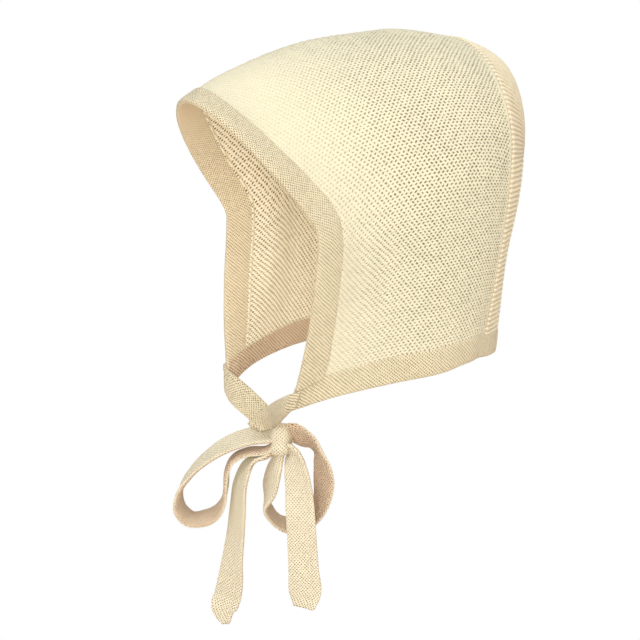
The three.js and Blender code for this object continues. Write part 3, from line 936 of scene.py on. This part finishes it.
@dataclass
class BackPanel:
    """The knit that closes the back, ribbed outwards to its seam."""

    neck: float = 13.0
    tuck_in: float = 1.2  # how far it runs under the neck band
    rows: int = 280
    columns: int = 150
    ridge: float = 0.4  # how far its sewn edge stands out
    ridge_width: float = 5.0
    ridge_at: float = 2.4  # from the seam
    relief: float = 0.5
    fade: float = 4.0  # the ribs fade out this close to the seam
    plain: float = 8.0  # the middle has no ribs out to here
    ribs_over: float = 34.0  # and they grow to their full height over this
    wave: float = 0.5
    wave_size: float = 40.0
    calm: float = 12.0
    seam_sink: float = 0.45
    seam_sink_over: float = 1.0

    def build(self, finishes: list[bpy.types.Material]) -> bpy.types.Object:
        """Makes the panel.

        Args:
            finishes: the materials of its outer and its inner face.

        Returns:
            The object.
        """
        end = float(SHELL.above_hem(np.array([1.0]), self.neck - self.tuck_in)[0])
        h = np.linspace(0.004, end, self.rows + 1)
        a = np.linspace(1, -1, self.columns + 1)
        grid = SHELL.back(a[None, :], h[:, None])
        up = normals(grid)
        across = run_along(grid, 1)
        to_seam = np.minimum(across, across[:, -1:] - across)
        to_seam = np.minimum(to_seam, run_along(grid, 0) + 0.3)
        centre_z = -SHELL.half_width
        lower = np.clip(centre_z - grid[..., 2], 0, None)
        angle = np.arctan2(np.abs(grid[..., 0]), np.maximum(grid[..., 2] - centre_z, 1e-6))
        around = angle * SHELL.half_width * 0.95 + lower
        uv = np.stack([to_seam, around], axis=-1)
        inward = np.hypot(grid[..., 0], np.maximum(grid[..., 2] - centre_z, 0))
        ribbed = smooth((inward - self.plain) / self.ribs_over)
        ribs = np.cos(TURN * around / RIB_KNIT.across) * smooth(to_seam / self.fade) * ribbed
        edge = np.exp(-((to_seam - self.ridge_at) / (self.ridge_width / 2)) ** 2)
        sunk = self.seam_sink * (1 - smooth(to_seam / self.seam_sink_over))
        rise = self.ridge * edge + self.relief * ribs - sunk
        rise += self.wave * unevenness(grid, self.wave_size) * smooth(to_seam / self.calm)
        outer = grid + up * rise[..., None]
        inner = (grid - up * SHELL.wall)[::2, ::2]
        down = run_along(grid[:, self.columns // 2][:, None], 0)
        from_middle = across - across[:, -1:] / 2
        inner_uv = np.stack(np.broadcast_arrays(from_middle, down), axis=-1)[::2, ::2]
        return wall_object("back_knit", outer, inner, uv, finishes, ribbed, inner_uv)


@dataclass
class Band:
    """A double knitted band whose rounded section follows a strip of the bonnet."""

    name: str
    wall: float = 2.8
    proud: float = 0.4
    sides: int = 40
    roundness: float = 0.42
    thin_ends: float = 1.0  # how much of the thickness is left at its ends
    taper: float = 9.0  # over how many millimetres it thins
    wave: float = 0.28
    wave_size: float = 21.0

    def build(
        self, strip: np.ndarray, finishes: list[bpy.types.Material], lit: np.ndarray | None = None
    ) -> bpy.types.Object:
        """Makes the band.

        Args:
            strip: the outer face of the bonnet under it, rows along it by columns across it.
            finishes: the materials of its outer and its inner side.
            lit: how far the inside of each row is drawn open and how strongly its painted glow shows, 0
                to 1.

        Returns:
            The object.
        """
        up = normals(strip, blend=12)
        across = run_along(strip, 1)
        width = across[:, -1].mean()
        angle = ring_angles(self.sides)
        cosine, sine = np.cos(angle), np.sin(angle)
        share = 0.5 + 0.5 * rounded(cosine, self.roundness * 1.6)
        middle = self.proud - self.wall / 2
        off = rounded(sine, self.roundness) * self.wall / 2
        place = share * (strip.shape[1] - 1)
        low = np.minimum(place.astype(int), strip.shape[1] - 2)
        part = (place - low)[None, :, None]
        base = strip[:, low] * (1 - part) + strip[:, low + 1] * part
        out = unit(up[:, low] * (1 - part) + up[:, low + 1] * part)
        wave = self.wave * unevenness(base, self.wave_size) * (sine > 0)
        run = run_along(base.mean(axis=1)[:, None], 0)[:, 0]
        to_end = np.minimum(run, run[-1] - run)
        left = self.thin_ends + (1 - self.thin_ends) * smooth(to_end / self.taper)
        rings = base + out * (middle + off[None, :] * left[:, None] + wave)[..., None]
        around = run_round(rings).mean(axis=0)
        along = run_along(rings.mean(axis=1)[:, None], 0)
        uv = np.stack(np.broadcast_arrays(around[None, :], along), axis=-1)
        LOG.info("%s: %.0f mm wide, %.0f mm long", self.name, width, along[-1, 0])
        opened = None
        if lit is not None:
            opened = np.append(np.where(sine < 0, lit[:, None], 1.0), [1.0, 1.0])
        return tube_object(self.name, rings, uv, finishes, sine < 0, opened)


@dataclass
class Bow:
    """The two ties, the knot that joins them, its loops and its hanging ends."""

    turn: float = math.radians(50)
    knot_drop: float = 20.0
    knot_back: float = 12.5
    knot_size: tuple[float, float, float] = (9.6, 13.0, 15.2)
    width: float = 15.0
    neck: float = 13.0
    wall: float = 2.4
    step: float = 1.0
    sides: int = 36
    tie_sink: float = 1.2  # how far a tie starts under the face of the neck band
    tie_back: float = 2.5  # and how far inside its end
    tie_start: float = 0.83  # how wide it starts, as a share
    pleat: float = 0.6  # depth of the gathers next to the knot
    pleats: float = 2.2  # how many lie across a ribbon
    curl: float = 0.5  # how far a ribbon's edges curl up
    seam_at: float = 0.21  # the seam beside a ribbon's edge, as a share of the width from its middle
    seam_width: float = 0.045
    seam_depth: float = 0.4
    ripple: float = 0.22
    ripple_size: float = 5.3
    squareness: float = 0.4  # of a ribbon's section, as an exponent
    creases: float = 2.4  # how many lie across the knot
    crease: float = 0.05  # their depth, as a share of the knot's half size

    def __post_init__(self) -> None:
        """Works out the bow's own axes and the middle of its knot."""
        self.across = np.array([math.cos(self.turn), math.sin(self.turn), 0])
        self.out = np.array([math.sin(self.turn), -math.cos(self.turn), 0])
        self.up = np.array([0.0, 0.0, 1.0])
        corner = SHELL.crown(1.0, 0.0)
        self.middle = np.array([0.0, corner[1] + self.knot_back, corner[2] - self.knot_drop])

    def point(self, across: np.ndarray, up: np.ndarray, out: np.ndarray) -> np.ndarray:
        """Places given in the bow's own axes, from the middle of the knot."""
        parts = (np.asarray(x, float)[..., None] for x in (across, up, out))
        return self.middle + sum(p * axis for p, axis in zip(parts, (self.across, self.up, self.out)))

    def stations(self, path: tuple, reach: float) -> tuple[np.ndarray, np.ndarray, np.ndarray]:
        """Centres, width directions and widths along a ribbon.

        Args:
            path: rows of across, up, out, tilt and width.
            reach: what the first three are shares of.

        Returns:
            Centres, unit directions and widths.
        """
        rows = np.array(path, float)
        rows[:, :3] *= reach
        hidden = np.array([0.45, 0.65, 0.6, 1.0, 0.85])  # what is left of a row inside the knot
        ends = [rows[:1] * hidden, rows]
        if np.hypot(*rows[-1, :2]) < self.width:
            ends.append(rows[-1:] * hidden)
        rows = np.concatenate(ends)
        at = run_along(rows[:, None, :3], 0)[:, 0]
        table = Table("at across up out tilt width", *np.column_stack([at, rows]))
        line = table.at(np.linspace(0, at[-1], int(at[-1] / self.step) + 1))
        going, rise = np.gradient(line["across"]), np.gradient(line["up"])
        length = np.hypot(going, rise)
        tilt = np.radians(line["tilt"])
        side = (
            self.out * np.cos(tilt)[:, None]
            + self.across * (-rise / length * np.sin(tilt))[:, None]
            + self.up * (going / length * np.sin(tilt))[:, None]
        )
        return self.point(line["across"], line["up"], line["out"]), side, line["width"] * self.width

    def tie_stations(
        self, side: int, meets: tuple[float, float, float], heading: float, width: float, cut: float
    ) -> tuple[np.ndarray, np.ndarray, np.ndarray]:
        """The same for a tie, from the neck band's end to the knot.

        Args:
            side: 1 for the wearer's left, -1 for the right.
            meets: where it reaches the knot, as shares of the ribbon's width.
            heading: its direction there, in degrees.
            width: its width there, as a share.
            cut: how far its end slants, in degrees.

        Returns:
            Centres, unit directions and widths.
        """
        q = SHELL.above_hem(np.array([0.0, 0.1]), self.neck)
        hem, top = SHELL.crown(side, 0.0), SHELL.crown(side * q[0], 0.0)
        start = (hem + top) / 2
        inner = (SHELL.crown(side, 0.1) + SHELL.crown(side * q[1], 0.1)) / 2
        ahead = unit(start - inner)
        face = unit(np.cross(hem - top, start - inner)) * side
        start = start - face * self.tie_sink - ahead * self.tie_back
        end = self.point(*(np.array(meets) * self.width))
        angle = math.radians(heading)
        arrival = self.across * math.cos(angle) + self.up * math.sin(angle)
        pull = float(np.linalg.norm(end - start)) / 4
        first = unit(top - hem)
        last = self.across * -math.sin(angle) + self.up * math.cos(angle)
        last = last if np.dot(last, first) > 0 else -last
        t = np.linspace(0, 1, 40)[:, None]
        corners = (start, start + ahead * pull, end - arrival * pull, end)
        weights = ((1 - t) ** 3, 3 * t * (1 - t) ** 2, 3 * t * t * (1 - t), t**3)
        centres = sum(w * c for w, c in zip(weights, corners))
        turned = unit(first * (1 - smooth(t)) + last * smooth(t))
        slant = math.radians(cut) * smooth((t - 0.6) / 0.4)
        turned = turned * np.cos(slant) + np.cross(self.out, turned) * np.sin(slant)
        widths = self.neck + (width * self.width - self.neck) * t[:, 0]
        widths = widths * (self.tie_start + (1 - self.tie_start) * smooth(t[:, 0] * 5))
        on = np.linspace(0.5, 2, 4)[:, None]  # how far it runs on, bending back into the knot
        centres = np.concatenate([centres, end + arrival * on - self.out * on**2 * 0.22])
        turned = np.concatenate([turned, np.repeat(turned[-1:], len(on), axis=0)])
        widths = np.concatenate([widths, widths[-1] * (1 - 0.06 * on[:, 0])])
        return centres, turned, widths

    def ribbon(
        self, name: str, stations: tuple, finishes: list[bpy.types.Material],
        gathered: tuple[float, float], back: int,
    ) -> tuple[bpy.types.Object, np.ndarray]:
        """Makes one ribbon.

        Args:
            name: the piece's name.
            stations: its centres, directions and widths.
            finishes: the materials of its right side and of its reverse.
            gathered: over how many millimetres it is gathered at its start and its end.
            back: which of its faces is the reverse, 1 or -1.

        Returns:
            The object and the line of its edge seam.
        """
        centres, side, width = stations
        along = unit(np.gradient(centres, axis=0))
        face = unit(np.cross(along, side))
        run = run_along(centres[:, None], 0)[:, 0]
        angle = ring_angles(self.sides)
        x = rounded(np.cos(angle), 0.55) / 2
        y = rounded(np.sin(angle), self.squareness) / 2
        ends = (run, run[-1] - run)
        gather = np.max([1 - smooth(d / g) if g else 0 * d for d, g in zip(ends, gathered)], axis=0)
        pleat = self.pleat * gather[:, None] * np.cos(TURN * self.pleats * x + 0.6)[None, :]
        curl = self.curl * (1 - gather)[:, None] * ((2 * x) ** 2)[None, :]
        groove = -self.seam_depth * np.exp(-(((x - self.seam_at) / self.seam_width) ** 2))
        groove = groove * (np.sin(angle) > 0)
        ripple = self.ripple * np.sin(run / self.ripple_size + 1.0)[:, None] * np.cos(3 * x)[None, :]
        lift = y[None, :] * self.wall + pleat + curl + groove[None, :] + ripple
        rings = centres[:, None] + side[:, None] * (x[None, :] * width[:, None])[..., None]
        rings = rings + face[:, None] * lift[..., None]
        around = run_round(rings)
        uv = np.stack([around, np.broadcast_to(run[:, None], around.shape)], axis=-1)
        seam = centres + side * (self.seam_at * width)[:, None] + face * (self.wall * 0.4)
        return tube_object(name, rings, uv, finishes, np.sin(angle + 0.01) * back > 0), seam

    def knot(self, finish: bpy.types.Material) -> bpy.types.Object:
        """Makes the wrap: a ribbon wound round the gathers, creased from edge to edge.

        Args:
            finish: its material.

        Returns:
            The object.
        """
        wide, deep, tall = self.knot_size
        profile = Table(
            "at size",
            (0.0, 0.7), (0.04, 0.86), (0.12, 0.95), (0.34, 1.02),
            (0.62, 0.99), (0.88, 0.94), (0.96, 0.84), (1.0, 0.66),
        )
        at = np.linspace(0, 1, 46)
        size = profile.at(at)["size"][:, None]
        angle = ring_angles(64)[None, :]
        x, y = rounded(np.cos(angle), 0.75), rounded(np.sin(angle), 0.75)
        turns = at[:, None] * self.creases + 0.06 * np.sin(2 * angle)
        crease = 1 - self.crease * np.cos(TURN * turns) * smooth(at * 6)[:, None]
        lean = 0.6 * np.sin(TURN * at / 2)[:, None]
        rings = self.point(
            x * size * crease * wide / 2 + lean,
            tall * (at - 0.6)[:, None] + 0.5 * np.sin(angle + 0.5) * size,
            y * size * crease * deep / 2,
        )
        around = run_round(rings).mean(axis=0)
        uv = np.stack(np.broadcast_arrays((at * tall)[:, None], around[None, :]), axis=-1)
        return tube_object("bow_wrap", rings, uv, [finish])


@dataclass
class StitchLine:
    """A row of hand made stitches along a path, made by Geometry Nodes."""

    name: str
    pitch: float  # from stitch to stitch
    length: float
    thickness: float
    seed: int = 7

    def tree(self, finish: bpy.types.Material) -> bpy.types.NodeTree:
        """Builds the node tree, with named inputs for its sizes in metres.

        Args:
            finish: the stitches' material.

        Returns:
            The tree.
        """
        tree = bpy.data.node_groups.new(self.name, "GeometryNodeTree")
        face = tree.interface
        face.new_socket("Path", in_out="INPUT", socket_type="NodeSocketGeometry")
        for name in ("Pitch", "Length", "Thickness"):
            face.new_socket(name, in_out="INPUT", socket_type="NodeSocketFloat")
        face.new_socket("Stitches", in_out="OUTPUT", socket_type="NodeSocketGeometry")
        given = add_node(tree, "NodeGroupInput").outputs
        curve = add_node(tree, "GeometryNodeMeshToCurve", {"Mesh": given["Path"]})
        even = add_node(
            tree, "GeometryNodeResampleCurve", {"Curve": curve.outputs[0], "Length": given["Pitch"]},
            mode="LENGTH",
        )
        lay = add_node(tree, "GeometryNodeInputNamedAttribute", {"Name": "lay"}, data_type="FLOAT_VECTOR")
        turned = add_node(tree, "FunctionNodeAlignEulerToVector", {"Vector": lay.outputs[0]}, axis="X")
        bead = add_node(tree, "GeometryNodeMeshUVSphere", {"Segments": 8, "Rings": 6, "Radius": 0.5})
        thick = given["Thickness"]
        size = add_node(tree, "ShaderNodeCombineXYZ", {0: given["Length"], 1: thick, 2: thick})
        uneven = add_node(
            tree, "FunctionNodeRandomValue",
            {"Min": (0.88,) * 3, "Max": (1.14,) * 3, "Seed": self.seed}, data_type="FLOAT_VECTOR",
        )
        scale = add_node(
            tree, "ShaderNodeVectorMath", {0: size.outputs[0], 1: uneven.outputs[0]}, operation="MULTIPLY"
        )
        placed = add_node(tree, "GeometryNodeInstanceOnPoints", {
            "Points": even.outputs[0], "Instance": bead.outputs[0],
            "Rotation": turned.outputs[0], "Scale": scale.outputs[0],
        })
        real = add_node(tree, "GeometryNodeRealizeInstances", {0: placed.outputs[0]})
        done = add_node(
            tree, "GeometryNodeSetMaterial", {"Geometry": real.outputs[0], "Material": finish}
        )
        add_node(tree, "NodeGroupOutput", {0: done.outputs[0]})
        return tree

    def build(
        self, paths: list[tuple[np.ndarray, np.ndarray]], finish: bpy.types.Material
    ) -> bpy.types.Object:
        """Makes the stitches.

        Args:
            paths: each a line of points in millimetres and the way each stitch lies there.
            finish: the material.

        Returns:
            The object, a plain mesh.
        """
        points = np.concatenate([line for line, _ in paths])
        lays = np.concatenate([lay for _, lay in paths])
        edges, start = [], 0
        for line, _ in paths:
            edges += [(start + k, start + k + 1) for k in range(len(line) - 1)]
            start += len(line)
        mesh = bpy.data.meshes.new(self.name)
        mesh.from_pydata((points * MM).tolist(), edges, [])
        attribute = mesh.attributes.new("lay", "FLOAT_VECTOR", "POINT")
        attribute.data.foreach_set("vector", lays.astype(np.float32).ravel())
        piece = add_object(self.name, mesh)
        modifier = piece.modifiers.new("stitches", "NODES")
        tree = self.tree(finish)
        modifier.node_group = tree
        sizes = {"Pitch": self.pitch, "Length": self.length, "Thickness": self.thickness}
        for socket in tree.interface.items_tree:
            if socket.name in sizes:
                modifier[socket.identifier] = sizes[socket.name] * MM
        seen = piece.evaluated_get(bpy.context.evaluated_depsgraph_get())
        plain = bpy.data.meshes.new_from_object(seen)
        piece.modifiers.clear()
        piece.data = plain
        plain.polygons.foreach_set("use_smooth", np.ones(len(plain.polygons), bool))
        return piece


@dataclass
class Bonnet:
    """The whole bonnet, piece by piece."""

    band: float = 15.0
    neck: float = 13.0
    pick_up_sink: float = 2.1  # how deep these stitches lie under the outer face
    seam_sink: float = 1.0

    def panels(self) -> None:
        """The crown and the back."""
        inside = INSIDE_KNIT.build()
        crown = CrownPanel(self.band, self.neck).build([CROWN_KNIT.build(), inside])
        dress(crown, "textured_knit", "crown_panel")
        back = BackPanel(self.neck).build([RIB_KNIT.build(), inside])
        dress(back, "textured_knit", "back_panel")

    def neck_strip(self) -> np.ndarray:
        """Finds the strip under the neck band, from one front corner round the nape to the other.

        Returns:
            Points, rows along the band by columns across it.
        """
        height = np.linspace(0, 1, 9)
        v = np.linspace(0, 1, 100)
        q = SHELL.above_hem(v, self.neck)
        share = 1 + (q - 1)[:, None] * height[None, :]
        left = SHELL.crown(share, v[:, None])
        right = SHELL.crown(-share, v[:, None])
        a = np.linspace(1, -1, 90)[1:-1]
        nape = SHELL.back(a[:, None], (1 + (q[-1] - 1) * height)[None, :])
        strip = np.concatenate([left, nape, right[::-1]])
        for _ in range(6):
            strip[1:-1] = (strip[:-2] + 2 * strip[1:-1] + strip[2:]) / 4
        return strip

    def bands(
        self, finish: bpy.types.Material, inside: bpy.types.Material, reverse: bpy.types.Material
    ) -> None:
        """Makes the bands of the face and the neck, with the stitches that pick them up inside.

        Args:
            finish: the material of their outer side.
            inside: that of the face band's inner side.
            reverse: that of the neck band's.
        """
        s = np.linspace(-1, 1, 300)
        front = SHELL.strip(s, 0.0, self.band, 12, self.neck - 1.0)
        # Less painted glow and shallower gaps inside the top of the arch: painted shade at the brim's
        # tip.
        lit = smooth((np.abs(s) - 0.1) / 0.3)
        face_band = Band("face_band", wall=3.0, proud=1.0).build(front, [finish, inside], lit)
        dress(face_band, "smooth_knit", "front_band")
        neck = self.neck_strip()
        nape_band = Band("nape_band", thin_ends=0.8).build(neck, [finish, reverse])
        dress(nape_band, "smooth_knit", "neck_band")
        lines = []
        for strip in (front, neck):
            line, up = strip[:, -1], normals(strip, blend=12)[:, -1]
            lay = unit(np.gradient(line, axis=0))
            lines.append(((line - up * self.pick_up_sink)[8:-8], lay[8:-8]))
        stitches = StitchLine("pick_up_stitches", pitch=1.5, length=2.0, thickness=0.7)
        dress(stitches.build(lines, finish), "smooth_knit")

    def seam(self, finish: bpy.types.Material) -> None:
        """Makes the oversewn seam between the crown and the back.

        Args:
            finish: its material.
        """
        end = float(SHELL.above_hem(np.array([1.0]), self.neck + 1.5)[0])
        q = np.linspace(-end, end, 400)
        line = SHELL.crown(q, 1.0)
        inside = SHELL.crown(q, 0.985)
        lay = unit(line - inside + 0.35 * np.gradient(line, axis=0))
        up = unit(np.cross(np.gradient(line, axis=0), line - inside))
        stitches = StitchLine("back_seam_stitches", pitch=1.6, length=1.5, thickness=0.5)
        dress(stitches.build([(line - up * self.seam_sink, lay)], finish), "smooth_knit")

    def bow(
        self, band: bpy.types.Material, finish: bpy.types.Material, reverse: bpy.types.Material
    ) -> None:
        """Makes the ties and the bow. Each ribbon is a strip of cloth that hangs from the knot.

        Args:
            band: the material of the two ties, which run on from the neck band.
            finish: that of the loops, the hanging ends and the knot.
            reverse: that of every ribbon's other side.
        """
        bow = Bow()
        tie_left = bow.tie_stations(1, meets=(-0.64, 0.42, 0.37), heading=212, width=0.68, cut=38)
        tie_right = bow.tie_stations(-1, meets=(-0.58, 0.57, -0.03), heading=307, width=0.8, cut=0)
        loop_left, loop_right = bow.stations(LEFT_LOOP_PATH, 52.0), bow.stations(RIGHT_LOOP_PATH, 47.0)
        end_left, end_right = bow.stations(LEFT_END_PATH, 98.0), bow.stations(RIGHT_END_PATH, 86.0)
        ribbons = (
            ("tie_strip_left", "tie_left", tie_left, band, (0.0, 5.0), 1),
            ("tie_strip_right", "tie_right", tie_right, band, (0.0, 8.0), -1),
            ("loop_left", "bow_loop_left", loop_left, finish, (12.0, 12.0), -1),
            ("loop_right", "bow_loop_right", loop_right, finish, (5.0, 10.0), 1),
            ("hanging_end_left", "tie_end_left", end_left, finish, (12.0, 0.0), -1),
            ("hanging_end_right", "tie_end_right", end_right, finish, (9.0, 0.0), -1),
        )
        seams = []
        for name, node, stations, outside, gathered, back in ribbons:
            piece, seam = bow.ribbon(name, stations, [outside, reverse], gathered, back)
            dress(piece, "smooth_knit", node)
            seams.append((seam, unit(np.gradient(seam, axis=0))))
        dress(bow.knot(finish), "smooth_knit", "bow_knot")
        stitches = StitchLine("ribbon_edge_stitches", pitch=1.5, length=1.2, thickness=0.45)
        dress(stitches.build(seams, finish), "smooth_knit")


def way_to(azimuth: float, elevation: float) -> Vector:
    """The direction from the bonnet to a place round it.

    Args:
        azimuth: degrees from straight ahead of the face, towards the wearer's left.
        elevation: degrees up.

    Returns:
        The unit direction.
    """
    az, el = math.radians(azimuth), math.radians(elevation)
    return Vector((math.cos(el) * math.sin(az), -math.cos(el) * math.cos(az), math.sin(el)))


@dataclass
class Studio:
    """A plain white studio with soft light, and the camera at the photograph's angle."""

    azimuth: float = 63.0
    elevation: float = 9.5
    distance: float = 0.92
    lens: float = 103.5
    sensor: float = 36.0
    aim_right: float = -27.4  # millimetres from the middle of the bonnet to the middle of the picture
    aim_up: float = -140.9
    floor_drop: float = 0.36
    sky: float = 0.66  # light from the white ceiling
    low: float = 0.34  # light from below
    room_tint: tuple[float, float, float, float] = (1.0, 0.965, 0.92, 1.0)
    white: tuple[float, float, float, float] = (1.0, 1.0, 1.0, 1.0)
    floor_reach: float = 8.0
    floor_bounce: tuple[float, float, float, float] = (0.75, 0.63, 0.54, 1.0)
    lamp_distance: float = 1.3
    lamp_aim: float = -0.12  # the height that the lamps are turned round
    # name, azimuth, elevation, size and power of each
    lamps: tuple[tuple[str, float, float, float, float], ...] = (
        ("key", 15.0, 48.0, 0.9, 5.5),
        ("fill", 57.0, 12.0, 0.5, 7.5),
        ("rear_fill", 125.0, 20.0, 0.9, 5.0),
    )

    def camera(self) -> None:
        """Places the camera."""
        az = math.radians(self.azimuth)
        aim = (math.cos(az) * self.aim_right, math.sin(az) * self.aim_right, self.aim_up)
        back = way_to(self.azimuth, self.elevation)
        data = bpy.data.cameras.new("camera")
        data.lens, data.sensor_width = self.lens, self.sensor
        camera = add_object("camera", data)
        camera.location = Vector(aim) * MM + back * self.distance
        camera.rotation_euler = (-back).to_track_quat("-Z", "Y").to_euler()
        bpy.context.scene.camera = camera

    def light(self) -> None:
        """Makes a white room and its soft lamps."""
        world = bpy.data.worlds.new("white_room")
        bpy.context.scene.world = world
        world.use_nodes = True
        tree = world.node_tree
        tree.nodes.clear()
        seen = add_node(tree, "ShaderNodeLightPath").outputs["Is Camera Ray"]
        way = add_node(tree, "ShaderNodeTexCoord").outputs["Generated"]
        up = add_node(tree, "ShaderNodeSeparateXYZ", {0: way}).outputs["Z"]
        heights = {0: up, 1: -0.5, 2: 0.8, 3: self.low, 4: self.sky}
        power = add_node(tree, "ShaderNodeMapRange", heights).outputs[0]
        room = add_node(tree, "ShaderNodeBackground", {0: self.room_tint, 1: power})
        sight = add_node(tree, "ShaderNodeBackground", {0: self.white, 1: 1.0})
        both = add_node(tree, "ShaderNodeMixShader", {0: seen, 1: room.outputs[0], 2: sight.outputs[0]})
        add_node(tree, "ShaderNodeOutputWorld", {0: both.outputs[0]})
        for name, azimuth, elevation, size, power in self.lamps:
            away = way_to(azimuth, elevation)
            data = bpy.data.lights.new(name, "AREA")
            data.size, data.energy = size, power
            lamp = add_object(name, data)
            lamp.location = away * self.lamp_distance + Vector((0, 0, self.lamp_aim))
            lamp.rotation_euler = (-away).to_track_quat("-Z", "Y").to_euler()

    def floor(self) -> None:
        """Makes a white floor well below the hanging ends."""
        mesh = bpy.data.meshes.new("studio_floor")
        reach = self.floor_reach
        corners = [(-reach, -reach), (reach, -reach), (reach, reach), (-reach, reach)]
        mesh.from_pydata([(x, y, -self.floor_drop) for x, y in corners], [], [(0, 1, 2, 3)])
        paint = bpy.data.materials.new("white_painted_floor")
        paint.use_nodes = True
        tree = paint.node_tree
        tree.nodes.clear()
        seen = add_node(tree, "ShaderNodeLightPath").outputs["Is Camera Ray"]
        bounce = add_node(tree, "ShaderNodeBsdfDiffuse", {0: self.floor_bounce})
        lit = add_node(tree, "ShaderNodeEmission", {0: self.white, 1: 1.0})
        both = add_node(tree, "ShaderNodeMixShader", {0: seen, 1: bounce.outputs[0], 2: lit.outputs[0]})
        add_node(tree, "ShaderNodeOutputMaterial", {0: both.outputs[0]})
        mesh.materials.append(paint)
        add_object("studio_floor", mesh)

    def build(self) -> None:
        """Makes the studio."""
        self.camera()
        self.light()
        self.floor()
        bpy.context.scene.view_settings.view_transform = "Standard"


def main() -> None:
    """Builds the studio and the bonnet, and writes how large the dressed bonnet is."""
    logging.basicConfig(level=logging.INFO, format="%(name)s: %(message)s")
    Studio().build()
    bonnet = Bonnet()
    bonnet.panels()
    smooth_finish = BAND_KNIT.build()
    # The reverse finish is a darker, pinker copy of the ribbon wool: partly its own purl tone, partly
    # painted shade.
    shaded_reverse_finish = SHADED_REVERSE_KNIT.build()
    bonnet.bands(smooth_finish, BAND_INSIDE_KNIT.build(), shaded_reverse_finish)
    bonnet.seam(smooth_finish)
    bonnet.bow(smooth_finish, TIE_KNIT.build(), shaded_reverse_finish)


if __name__ == "__main__":
    main()
